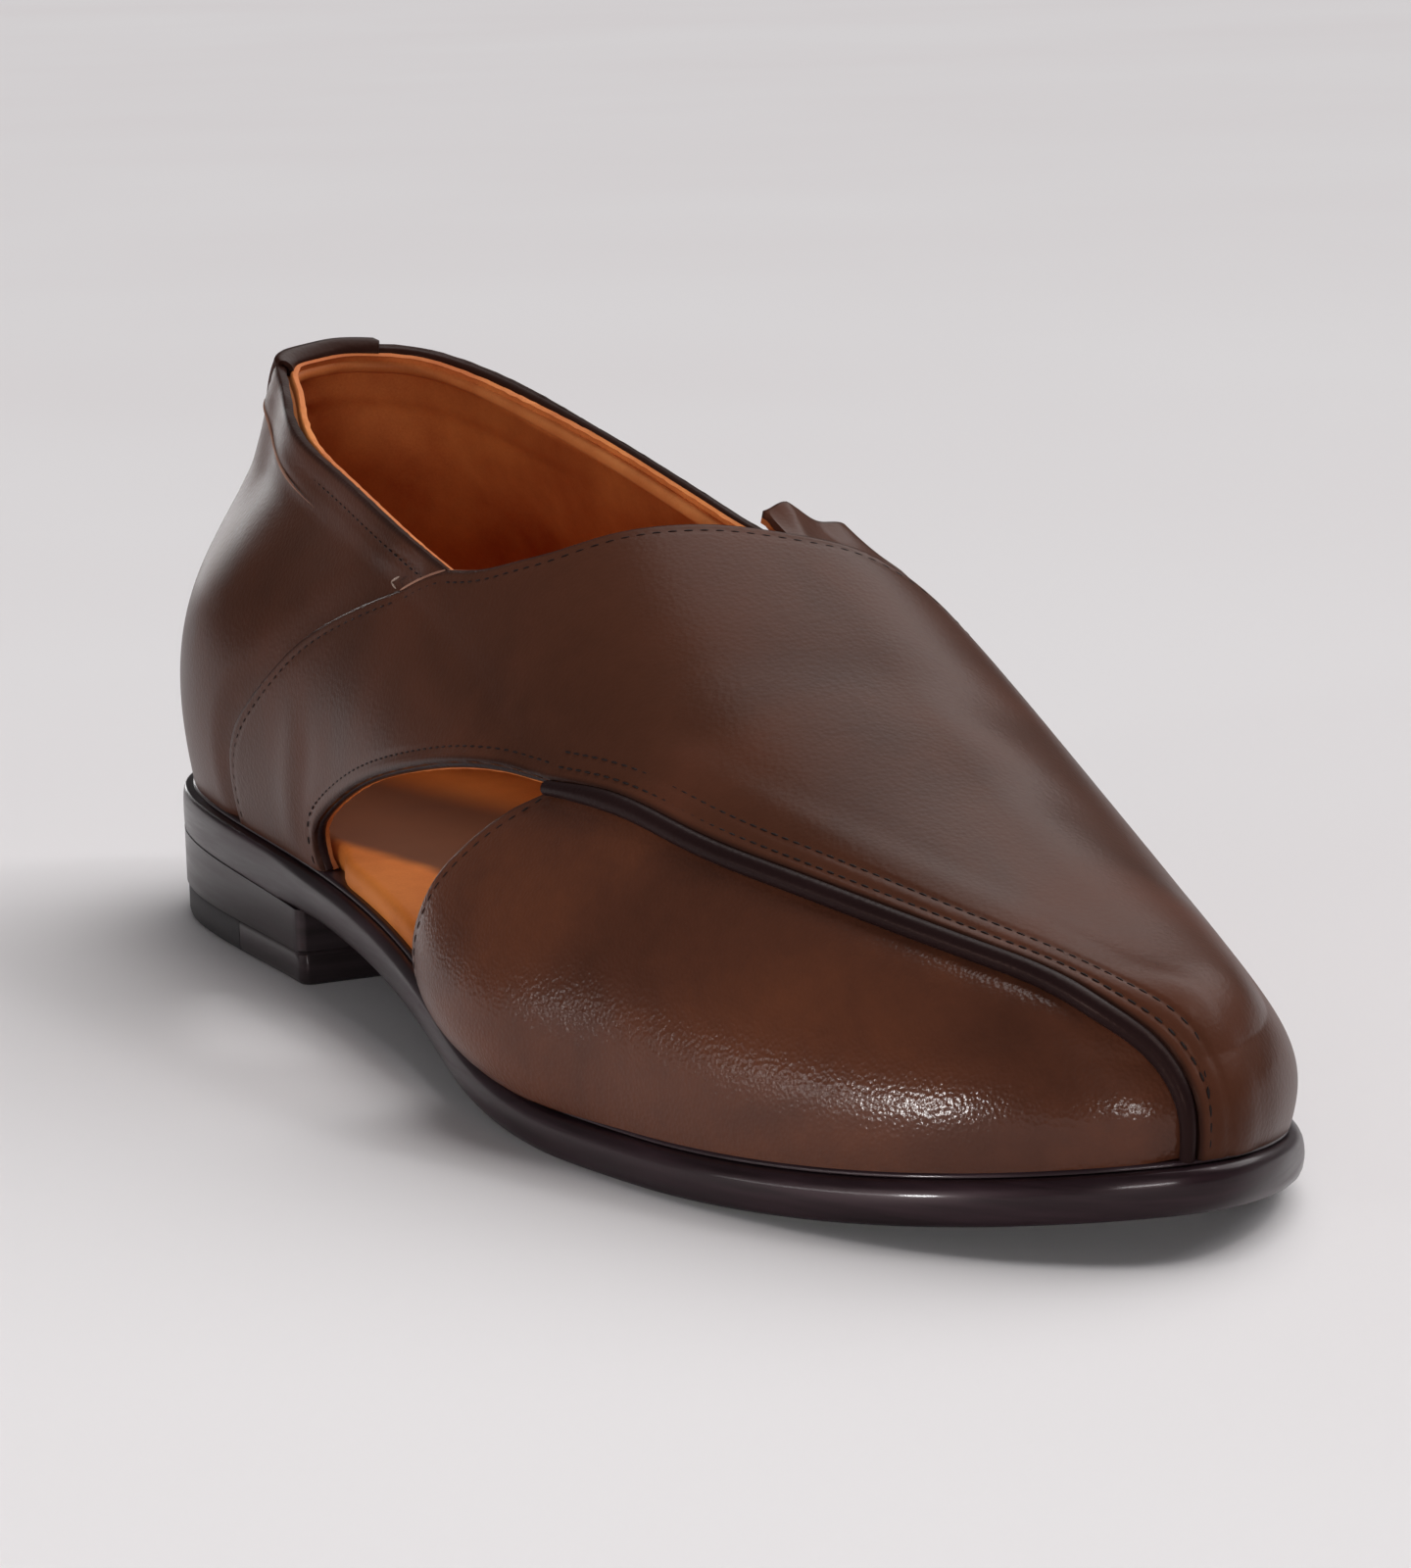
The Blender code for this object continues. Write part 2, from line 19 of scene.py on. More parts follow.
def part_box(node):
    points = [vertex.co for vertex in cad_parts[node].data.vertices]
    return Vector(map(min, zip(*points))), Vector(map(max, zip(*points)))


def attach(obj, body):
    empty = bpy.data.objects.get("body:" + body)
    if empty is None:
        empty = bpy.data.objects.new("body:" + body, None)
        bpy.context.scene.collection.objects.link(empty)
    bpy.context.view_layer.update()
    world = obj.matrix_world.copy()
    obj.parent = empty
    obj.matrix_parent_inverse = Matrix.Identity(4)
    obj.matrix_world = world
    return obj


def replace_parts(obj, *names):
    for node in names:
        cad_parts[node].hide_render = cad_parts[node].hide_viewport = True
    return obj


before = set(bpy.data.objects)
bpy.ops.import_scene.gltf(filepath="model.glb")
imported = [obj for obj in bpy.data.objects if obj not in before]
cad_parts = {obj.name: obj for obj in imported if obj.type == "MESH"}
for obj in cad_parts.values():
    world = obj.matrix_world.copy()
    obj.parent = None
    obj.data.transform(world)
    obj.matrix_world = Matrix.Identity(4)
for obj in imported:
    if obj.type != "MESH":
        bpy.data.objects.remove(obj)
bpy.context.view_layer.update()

MM = 0.001
LOG = logging.getLogger("chappal")
Array = np.ndarray


class Side(Enum):
    """The two sides of the foot, with the sign of their y."""

    LATERAL = -1
    MEDIAL = 1


# ---------------------------------------------------------------- curves
def spline(xs: Sequence[float], ys: Sequence[float]) -> Callable[[Array], Array]:
    """Natural cubic through points.

    Args:
        xs: rising positions.
        ys: the value at each.

    Returns:
        The curve as a function of position, held at its ends.
    """
    x_at, y_at = np.asarray(xs, float), np.asarray(ys, float)
    count, step = len(x_at), np.diff(x_at)
    left, right = np.zeros((count, count)), np.zeros(count)
    left[0, 0] = left[-1, -1] = 1.0
    for i in range(1, count - 1):
        left[i, i - 1 : i + 2] = step[i - 1], 2 * (step[i - 1] + step[i]), step[i]
        right[i] = 6 * ((y_at[i + 1] - y_at[i]) / step[i] - (y_at[i] - y_at[i - 1]) / step[i - 1])
    bend = np.linalg.solve(left, right)

    def value(x: Array) -> Array:
        """The curve at x."""
        x = np.clip(np.asarray(x, float), x_at[0], x_at[-1])
        i = np.clip(np.searchsorted(x_at, x) - 1, 0, count - 2)
        p, q, h = x_at[i + 1] - x, x - x_at[i], step[i]
        cubic = (bend[i] * p**3 + bend[i + 1] * q**3) / (6 * h)
        return cubic + (y_at[i] / h - bend[i] * h / 6) * p + (y_at[i + 1] / h - bend[i + 1] * h / 6) * q

    return value


def smooth_step(value: Array, low: float, high: float) -> Array:
    """0 below low, 1 above high, and a soft rise between them."""
    t = np.clip((np.asarray(value, float) - low) / (high - low), 0, 1)
    return t * t * (3 - 2 * t)


def lengths_along(points: Array) -> Array:
    """Distance run from the first point to each of them."""
    return np.concatenate([[0.0], np.cumsum(np.linalg.norm(np.diff(points, axis=0), axis=1))])


# ---------------------------------------------------------------- the sole's outline and heights
# One row per section: the sole's half widths, the ridge of the last over it, how full each side is, how far
# each side bulges past its foot, the flare of the vamp's free edge, the hollow behind the ankle, and the
# stand of the medial wall over the waist.
COLUMNS = ("x", "lateral", "medial", "ridge_y", "ridge_z", "full_lat", "full_med", "bulge_lat", "bulge_med",
           "flare", "hollow", "wall_med")
SECTIONS = (
    (0.0, 0.0, 0.0, -0.2, 106.5, 1.12, 1.10, 2.2, 2.6, 0.0, 3.2, 0.0),
    (4.0, -14.0, 14.0, -0.2, 106.5, 1.10, 1.08, 2.1, 2.5, 0.0, 3.2, 0.0),
    (10.0, -23.0, 22.8, -0.2, 106.5, 1.10, 1.05, 2.1, 2.4, 0.0, 3.2, 0.0),
    (20.0, -29.8, 29.4, -0.2, 106.5, 1.27, 1.00, 2.5, 2.4, 0.0, 3.2, 0.0),
    (35.0, -33.8, 32.6, -0.2, 106.5, 1.30, 0.90, 4.0, 2.6, 0.0, 3.2, 0.8),
    (55.0, -35.4, 32.0, -0.4, 105.2, 0.94, 0.76, 4.8, 3.0, 0.0, 2.6, 2.4),
    (75.0, -36.0, 29.4, -0.4, 102.7, 0.84, 0.66, 3.8, 3.0, 0.0, 1.6, 4.4),
    (95.0, -37.0, 26.6, -0.1, 99.8, 0.78, 0.58, 3.2, 3.0, 0.0, 0.7, 5.8),
    (115.0, -38.6, 25.6, 0.7, 96.3, 0.77, 0.56, 3.0, 3.0, 0.1, 0.2, 5.8),
    (135.0, -40.8, 29.2, 2.1, 91.7, 0.79, 0.58, 3.0, 3.0, 0.7, 0.0, 3.8),
    (155.0, -43.8, 36.2, 3.5, 86.0, 0.79, 0.65, 2.5, 2.9, 2.8, 0.0, 1.0),
    (175.0, -47.2, 44.4, 4.8, 78.2, 0.78, 0.76, 1.9, 2.2, 5.8, 0.0, 0.0),
    (195.0, -48.3, 48.4, 5.7, 68.7, 0.75, 0.90, 1.5, 1.9, 4.0, 0.0, 0.0),
    (215.0, -46.4, 48.2, 6.0, 59.3, 0.70, 1.03, 1.3, 1.9, 0.5, 0.0, 0.0),
    (235.0, -42.6, 45.2, 5.4, 50.5, 0.66, 1.07, 0.8, 1.7, 0.0, 0.0, 0.0),
    (253.0, -37.0, 39.8, 4.7, 43.6, 0.61, 0.98, 0.7, 1.7, 0.0, 0.0, 0.0),
    (268.0, -30.4, 33.8, 4.2, 38.6, 0.57, 0.82, 0.8, 1.8, 0.0, 0.0, 0.0),
    (281.0, -22.4, 27.0, 3.9, 35.0, 0.54, 0.66, 1.0, 1.7, 0.0, 0.0, 0.0),
    (290.0, -14.6, 19.6, 3.7, 33.6, 0.54, 0.58, 1.1, 1.5, 0.0, 0.0, 0.0),
    (296.0, -7.4, 12.6, 3.6, 33.2, 0.54, 0.55, 1.1, 1.3, 0.0, 0.0, 0.0),
    (300.0, 2.5, 2.5, 3.6, 33.0, 0.54, 0.54, 1.1, 1.1, 0.0, 0.0, 0.0),
)
Inset = float | Callable[[Array, Array], Array]


@dataclass(frozen=True)
class SoleShape:
    """Heights of the sole's layers along the foot, and its outline."""

    length: float = 300.0
    heel_back: float = 15.5
    heel_front: float = 12.2
    seat: float = 85.0
    tread: tuple[float, float] = (209.0, 226.0)
    toe_spring: float = 6.6
    toe_power: float = 2.1
    arch: float = 0.16
    outsole_seat: float = 5.0
    outsole_fore: float = 4.3
    thins: tuple[float, float] = (90.0, 190.0)
    midsole: float = 2.0
    gap: float = 0.3
    outline_points: int = 2400

    def under(self, x: Array) -> Array:
        """Height of the outsole's underside at x."""
        x = np.asarray(x, float)
        back, front, seat = self.heel_back, self.heel_front, self.seat
        span = self.tread[0] - seat
        t = np.clip((x - seat) / span, 0, 1)
        slope = (front - back) / seat * span
        waist = self.arch * front * 16 * t**2 * (1 - t) ** 2 + front * (1 - 3 * t**2 + 2 * t**3)
        waist = waist + slope * (t - 2 * t**2 + t**3)
        ahead = np.clip((x - self.tread[1]) / (self.length - self.tread[1]), 0, 2)
        toe = self.toe_spring * ahead**self.toe_power
        return np.where(x < seat, back + (front - back) * x / seat, np.where(x < self.tread[0], waist, toe))

    def thickness(self, x: Array) -> Array:
        """The outsole's thickness at x."""
        blend = np.clip((np.asarray(x, float) - self.thins[0]) / (self.thins[1] - self.thins[0]), 0, 1)
        return self.outsole_seat + (self.outsole_fore - self.outsole_seat) * blend

    def outsole_top(self, x: Array) -> Array:
        """Height of the outsole's top at x."""
        return self.under(x) + self.thickness(x)

    def midsole_top(self, x: Array) -> Array:
        """Height of the midsole's top at x."""
        return self.outsole_top(x) + self.gap + self.midsole

    def loop(self) -> tuple[Array, Array]:
        """The sole's edge from the heel round the lateral side, and its outward normals."""
        rows = SECTIONS[1:-1]
        points = [(0.0, 0.0)] + [(r[0], r[1]) for r in rows] + [(self.length, SECTIONS[-1][1])]
        points += [(r[0], r[2]) for r in reversed(rows)] + [(0.0, 0.0)]
        loop = np.array(points[-4:-1] + points + points[1:4])
        run = np.concatenate([[0], np.cumsum(np.linalg.norm(np.diff(loop, axis=0), axis=1) ** 0.5)])
        at = np.linspace(run[3], run[-4], self.outline_points + 1)[:-1]
        edge = np.stack([spline(run, loop[:, 0])(at), spline(run, loop[:, 1])(at)], -1)
        ahead = np.roll(edge, -1, 0) - np.roll(edge, 1, 0)
        ahead /= np.linalg.norm(ahead, axis=1)[:, None]
        return edge, np.stack([ahead[:, 1], -ahead[:, 0]], -1)


SOLE = SoleShape()
EDGE, EDGE_NORMAL = SOLE.loop()


class Rim:
    """The sole's edge moved in by a distance, read by side and by run from heel to toe."""

    def __init__(self, inset: Inset) -> None:
        """Moves the edge in.

        Args:
            inset: millimetres, or a function of the edge's x and y that gives them.
        """
        depth = inset(EDGE[:, 0], EDGE[:, 1]) if callable(inset) else np.full(len(EDGE), inset)
        ring = EDGE - EDGE_NORMAL * depth[:, None]
        toe = int(ring[:, 0].argmax())
        heel = int(np.roll(ring[:, 0], len(ring) // 2).argmin()) - len(ring) // 2
        index = np.arange(len(ring))
        lateral = ring[(heel + index[: (toe - heel) % len(ring) + 1]) % len(ring)]
        medial = ring[(toe + index[: (heel - toe) % len(ring) + 1]) % len(ring)][::-1]
        self.start, self.end = float(ring[heel, 0]), float(ring[toe, 0])
        self.sides = {}
        for side, run in ((Side.LATERAL, lateral), (Side.MEDIAL, medial)):
            rising = np.maximum.accumulate(run[:, 0]) + np.arange(len(run)) * 1e-9
            self.sides[side] = rising, run[:, 1]

    def x_at(self, run: Array) -> Array:
        """x at a run from 0, the heel, to 1, the toe, which gathers towards both ends."""
        return self.start + (self.end - self.start) * (0.5 - 0.5 * np.cos(np.pi * run))

    def run_at(self, x: Array) -> Array:
        """The run at which the edge passes x."""
        share = np.clip((np.asarray(x, float) - self.start) / (self.end - self.start), 0, 1)
        return np.arccos(1 - 2 * share) / np.pi

    def y_at(self, side: Side, x: Array) -> Array:
        """y of the edge at x on one side."""
        return np.interp(x, *self.sides[side])


# ---------------------------------------------------------------- the last
@dataclass
class Last:
    """The outside of the upper as one surface. A place on it is (run, across): run goes from 0 at the heel to
    1 at the toe, across from -1 at the lateral foot over 0, the ridge, to 1 at the medial foot. Past the toe
    or the heel a run turns back along the other side."""

    feather_inset: float = 2.2
    flare_at: float = 202.0
    flare_width: float = 17.0
    flare_out: float = 1.4
    heel_point: float = 40.0
    toe_point: float = 284.0
    fan_soft: tuple[float, float] = (14.0, 6.0)
    bulge_top: float = 0.62
    hollow_width: float = 0.17
    toe_droop: float = 0.2
    droop_over: tuple[float, float] = (270.0, 290.0)
    belt: float = 16.0            # width over which the lateral form goes over into the medial one
    middle_off: float = 0.22      # the section table's middle line, from the middle of the sole's box
    table: int = 181
    rounds: int = 14              # steps in which a place is found
    crowd: float = 1.6            # gathers the table's levels towards the foot
    near: float = 0.03            # band at the ridge where both sides' directions are mixed
    foot_stop: float = 0.985      # the directions of the very foot are read just above it
    step: tuple[float, float] = (0.006, 0.012)   # run and across over which directions are measured

    def __post_init__(self) -> None:
        """Prepares the section curves, the feather line and the girth tables."""
        rows = np.array(SECTIONS)
        self.section = {name: spline(rows[:, 0], rows[:, i]) for i, name in enumerate(COLUMNS) if i > 2}
        self.rim = Rim(self._inset)
        low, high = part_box("outsole")
        self.origin = np.array([low.x / MM, (low.y + high.y) / 2 / MM - self.middle_off, 0.0])
        self.runs = np.linspace(0, 1, self.table)
        steps = 1 - np.linspace(0, 1, self.table) ** self.crowd
        self.girths, self.across_table, self.cloud = {}, {}, {}
        even = np.linspace(0, 1, self.table)
        for side in Side:
            run, level = np.meshgrid(self.runs, (1 - steps) * side.value, indexing="ij")
            points = self.surface(run, level)
            length = np.cumsum(np.linalg.norm(np.diff(points, axis=1), axis=2), axis=1)
            length = np.concatenate([np.zeros((self.table, 1)), length], axis=1)
            share = length / length[:, -1:]
            self.girths[side] = np.abs(level[0]), share
            self.across_table[side] = np.array([np.interp(even, row, np.abs(level[0])) for row in share])
            self.cloud[side] = run, level, points

    def _inset(self, x: Array, y: Array) -> Array:
        """How far the upper's foot stands in from the sole's edge."""
        flaring = np.exp(-(((x - self.flare_at) / self.flare_width) ** 2)) * (y < 0)
        return self.feather_inset - self.flare_out * flaring

    def surface(self, run: Array, across: Array) -> Array:
        """Points of the surface in shoe millimetres."""
        run, across = np.broadcast_arrays(np.asarray(run, float), np.asarray(across, float))
        turned = (run > 1) | (run < 0)
        run = np.where(run > 1, 2 - run, np.abs(run))
        across = np.clip(np.where(turned, -across, across), -1, 1)
        fx = self.rim.x_at(run)
        fy = np.where(across < 0, self.rim.y_at(Side.LATERAL, fx), self.rim.y_at(Side.MEDIAL, fx))
        back, front = self.fan_soft
        cx = 0.5 * (fx + self.heel_point + np.hypot(fx - self.heel_point, back))
        cx = 0.5 * (cx + self.toe_point - np.hypot(cx - self.toe_point, front))
        cx = np.clip(cx, self.heel_point, self.toe_point)
        cy, top = self.section["ridge_y"](cx), self.section["ridge_z"](cx)
        foot = SOLE.midsole_top(fx) + SOLE.gap
        blend = np.clip((fy - cy) / self.belt + 0.5, 0, 1)
        full = self.section["full_lat"](fx) * (1 - blend) + self.section["full_med"](fx) * blend
        bulge = self.section["bulge_lat"](fx) * (1 - blend) + self.section["bulge_med"](fx) * blend
        angle = (1 - np.abs(across)) * np.pi / 2
        rise = np.sin(angle)
        reach = np.hypot(fx - cx, fy - cy)
        low = np.minimum(rise / self.bulge_top, 1)
        radius = reach * np.maximum(np.cos(angle), 0) ** full + bulge * np.sin(np.pi * low)
        radius -= self.section["hollow"](fx) * np.exp(-(((rise - self.bulge_top) / self.hollow_width) ** 2))
        flare = np.maximum(self.section["flare"](fx), 0) * np.sin(np.pi * low**0.5)
        stand = np.maximum(self.section["wall_med"](fx), 0) * np.sin(np.pi * rise)
        radius = radius + np.where(across < 0, flare, stand)
        radius = np.where(np.abs(across) < 1e-6, 0.0, radius)
        ahead = (fx - cx) / reach * radius
        start, end = self.droop_over
        droop = self.toe_droop * np.maximum(ahead, 0) * rise**2 * np.clip((fx - start) / (end - start), 0, 1)
        z = foot + (top - foot) * rise - droop
        return np.stack([cx + ahead, cy + (fy - cy) / reach * radius, z], -1)

    def normal(self, run: Array, across: Array) -> Array:
        """Outward directions at places on the surface."""
        run, across = np.broadcast_arrays(np.asarray(run, float), np.asarray(across, float))
        total = np.zeros(run.shape + (3,))
        near, (run_by, by) = self.near, self.step
        for sign in (-1.0, 1.0):
            level = np.where(np.abs(across) < near, sign * near, across)
            foot = np.clip(level, -self.foot_stop, self.foot_stop)
            along = self.surface(run + run_by, foot) - self.surface(run - run_by, foot)
            up = self.surface(run, foot + by) - self.surface(run, foot - by)
            out = np.cross(along, up)
            out /= np.maximum(np.linalg.norm(out, axis=-1, keepdims=True), 1e-9)
            weight = np.where(np.abs(across) < near, 0.5 + 0.5 * sign * across / near, 0.5)
            total += out * weight[..., None]
        return total / np.maximum(np.linalg.norm(total, axis=-1, keepdims=True), 1e-9)

    def points_of(self, places: Array) -> Array:
        """Points of the surface at rows of run and girth."""
        return self.surface(places[:, 0], self.across_of(places[:, 0], places[:, 1]))

    def facing(self, run: Array, across: Array) -> tuple[Array, Array]:
        """Points of the surface and the outward directions there."""
        return self.surface(run, across), self.normal(run, across)

    def girth_of(self, run: Array, across: Array) -> Array:
        """Across turned into an even measure of the way round the section, from -1 to 1."""
        result = np.zeros(len(run))
        for i, (place, level) in enumerate(zip(run, across)):
            side = Side.MEDIAL if level > 0 else Side.LATERAL
            levels, share = self.girths[side]
            row = min(max(place, 0.0), 1.0) * (self.table - 1)
            low = min(int(row), self.table - 2)
            values = [np.interp(abs(level), levels, share[low + k]) for k in (0, 1)]
            result[i] = side.value * (values[0] + (values[1] - values[0]) * (row - low))
        return result

    def across_of(self, run: Array, girth: Array) -> Array:
        """The inverse of girth_of, for whole grids."""
        run, girth = np.broadcast_arrays(np.asarray(run, float), np.asarray(girth, float))
        turned = (run > 1) | (run < 0)
        folded = np.clip(np.where(run > 1, 2 - run, np.abs(run)), 0, 1)
        flip = np.where(turned, -1.0, 1.0)
        signed = np.clip(girth * flip, -1, 1)
        row, col = folded * (self.table - 1), np.abs(signed) * (self.table - 1)
        i, j = np.minimum(row.astype(int), self.table - 2), np.minimum(col.astype(int), self.table - 2)
        p, q = row - i, col - j
        result = np.zeros(run.shape)
        for side in Side:
            t = self.across_table[side]
            level = (t[i, j] * (1 - p) * (1 - q) + t[i + 1, j] * p * (1 - q) + t[i, j + 1] * (1 - p) * q
                     + t[i + 1, j + 1] * p * q)
            mine = signed > 0 if side is Side.MEDIAL else signed <= 0
            result = np.where(mine, side.value * level, result)
        return result * flip

    def find(self, keys: Array, side: Side) -> tuple[Array, Array]:
        """Places on one side of the surface nearest to points.

        Args:
            keys: rows of x, y, z in shoe millimetres; y may be nan, and is then left free.
            side: the side to look on.

        Returns:
            Run and across of each.
        """
        keys = np.asarray(keys, float)
        weight = np.where(np.isnan(keys), 0.0, 1.0)
        target = np.nan_to_num(keys)
        runs, levels, points = (part.reshape(-1, *part.shape[2:]) for part in self.cloud[side])
        first = [(((points - t) ** 2) * w).sum(1).argmin() for t, w in zip(target, weight)]
        run, level = runs[first].copy(), levels[first].copy()
        tiny = 1e-4
        low, high = (-1.0, -tiny) if side is Side.LATERAL else (tiny, 1.0)
        for _ in range(self.rounds):
            here = self.surface(run, level)
            d_run = (self.surface(run + tiny, level) - self.surface(run - tiny, level)) / (2 * tiny)
            d_level = (self.surface(run, level + tiny) - self.surface(run, level - tiny)) / (2 * tiny)
            miss = (target - here) * weight
            a, b = d_run * weight, d_level * weight
            aa, bb, ab = (a * a).sum(1) + 1e-3, (b * b).sum(1) + 1e-3, (a * b).sum(1)
            am, bm = (a * miss).sum(1), (b * miss).sum(1)
            det = aa * bb - ab**2
            run = np.clip(run + np.clip((am * bb - bm * ab) / det, -0.03, 0.03), 0, 1)
            level = np.clip(level + np.clip((bm * aa - am * ab) / det, -0.05, 0.05), low, high)
        return run, level

    def place(self, points: Array) -> Array:
        """Shoe millimetres as metres in the shared frame."""
        return (points + self.origin) * MM


LAST = Last()
LAST_RUN_MM, LAST_GIRTH_MM = 330.0, 90.0   # rough lengths that a whole run and a whole side stand for
FAR_MM = 30.0                  # stands for a place with no free edge near it
WELD, CORD_WELD = 3e-6, 2e-6   # metres within which corners are one
SMALL = 1e-6                   # metres under which an edge is none
EDGE_SHARES = (0.14, 0.32, 0.58, 1.3, 1.65)   # extra stations by an edge, in intervals


class Line:
    """A run of places on the last, in (run, girth), on a smooth curve through key points."""

    def __init__(self, places: Array, smooth: bool = True, steps: int = 160) -> None:
        """Samples the curve densely.

        Args:
            places: rows of run and girth.
            smooth: a curve through them, or straight pieces.
            steps: how many samples.
        """
        places = np.asarray(places, float)
        run = lengths_along(LAST.points_of(places))
        at = np.linspace(0, run[-1], steps)
        curved = smooth and len(places) > 2
        self.places = np.stack([spline(run, part)(at) if curved else np.interp(at, run, part)
                                for part in places.T], -1)
        self.places[:, 1] = np.clip(self.places[:, 1], -1, 1)

    @classmethod
    def foot(cls, x_from: float, x_to: float, side: Side) -> "Line":
        """The feather line from one x to another."""
        run = LAST.rim.run_at(np.linspace(x_from, x_to, 40))
        return cls(np.stack([run, np.full(40, float(side.value))], -1), smooth=False)

    def points(self) -> Array:
        """The line's points in shoe millimetres."""
        return LAST.points_of(self.places)

    def at(self, count: int) -> Array:
        """Places at even distances along the line, at both ends of each of some intervals."""
        length = lengths_along(self.points())
        at = np.linspace(0, length[-1], count + 1)
        return np.stack([np.interp(at, length, self.places[:, k]) for k in (0, 1)], -1)


def stations(lines: Sequence[Line], counts: Sequence[int]) -> Array:
    """Places along joined lines, with a station at each join.

    Args:
        lines: the lines, in order.
        counts: intervals on each.

    Returns:
        Rows of run and girth.
    """
    rows = [line.at(count) for line, count in zip(lines, counts)]
    return np.concatenate(rows[:1] + [row[1:] for row in rows[1:]])


def coons(bottom: Array, top: Array, left: Array, right: Array) -> Array:
    """A grid of places that spans four borders.

    Args:
        bottom: places from left to right.
        top: as many, from left to right.
        left: places from bottom to top.
        right: as many, from bottom to top.

    Returns:
        Places by station along and station up.
    """
    def share(first: Array, second: Array) -> Array:
        """The mean of two borders' own shares of length."""
        a, b = lengths_along(first), lengths_along(second)
        return (a / a[-1] + b / max(b[-1], 1e-9)) / 2 if b[-1] > 1e-6 else a / a[-1]

    s, v = share(bottom, top)[:, None, None], share(left, right)[None, :, None]
    ruled = (1 - v) * bottom[:, None] + v * top[:, None] + (1 - s) * left[None] + s * right[None]
    corners = ((1 - s) * (1 - v) * bottom[0] + s * (1 - v) * bottom[-1]
               + (1 - s) * v * top[0] + s * v * top[-1])
    return ruled - corners


def relax(grid: Array, rounds: int = 1200) -> Array:
    """Evens out the inside of a grid of places, so that no cell folds over, and keeps its borders."""
    scale = np.array([LAST_RUN_MM, LAST_GIRTH_MM])
    g = grid * scale
    for _ in range(rounds):
        up = (g[1:-1, 2:] - g[1:-1, :-2]) / 2
        along = (g[2:, 1:-1] - g[:-2, 1:-1]) / 2
        alpha = (up**2).sum(-1, keepdims=True) + 1e-6
        gamma = (along**2).sum(-1, keepdims=True) + 1e-6
        twist = (g[2:, 2:] - g[2:, :-2] - g[:-2, 2:] + g[:-2, :-2]) / 4
        mean = (alpha * (g[2:, 1:-1] + g[:-2, 1:-1]) + gamma * (g[1:-1, 2:] + g[1:-1, :-2])
                - 2 * (up * along).sum(-1, keepdims=True) * twist) / (2 * (alpha + gamma))
        g[1:-1, 1:-1] += 0.9 * (mean - g[1:-1, 1:-1])
    return g / scale


def refine(grid: Array, *borders: str) -> Array:
    """Adds rows close to some borders of a grid, where an edge is rolled.

    Args:
        grid: places by station along and station up.
        borders: which of left, bottom and top to add rows at.

    Returns:
        The finer grid.
    """
    for axis, (first, last) in enumerate((("left", ""), ("bottom", "top"))):
        count = grid.shape[axis]
        extra = [t for t in EDGE_SHARES if first in borders]
        extra += [count - 1 - t for t in EDGE_SHARES if last in borders]
        at = np.array(sorted([*range(count), *extra]), float)
        low = np.minimum(at.astype(int), grid.shape[axis] - 2)
        t = (at - low).reshape((-1, 1, 1) if axis == 0 else (1, -1, 1))
        grid = np.take(grid, low, axis) * (1 - t) + np.take(grid, low + 1, axis) * t
    return grid


# ---------------------------------------------------------------- relief of the leather
@dataclass(frozen=True)
class Trace:
    """A soft trough or ridge that follows a line, a distance in from it."""

    line: Array
    depth: float
    width: float
    off: float = 0.0
    fade: float = 0.0

    def at(self, points: Array) -> Array:
        """Height that it adds at points, less near the line's first end where it fades in."""
        height = self.depth * np.exp(-(((nearest(points, self.line) - self.off) / self.width) ** 2))
        if self.fade:
            height *= smooth_step(nearest(points, self.line[:1]), self.fade * 0.2, self.fade)
        return height


def nearest(points: Array, line: Array) -> Array:
    """Distance from each point to a line of points, both in millimetres."""
    flat = points.reshape(-1, 3)
    dense = np.concatenate([line[:-1] + (line[1:] - line[:-1]) * t for t in (0.0, 0.5)] + [line[-1:]])
    best = np.full(len(flat), np.inf)
    for i in range(0, len(dense), 200):
        block = dense[i : i + 200]
        gap = ((flat**2).sum(1)[:, None] + (block**2).sum(1)[None] - 2 * flat @ block.T).min(1)
        best = np.minimum(best, gap)
    return np.sqrt(np.maximum(best, 0)).reshape(points.shape[:-1])


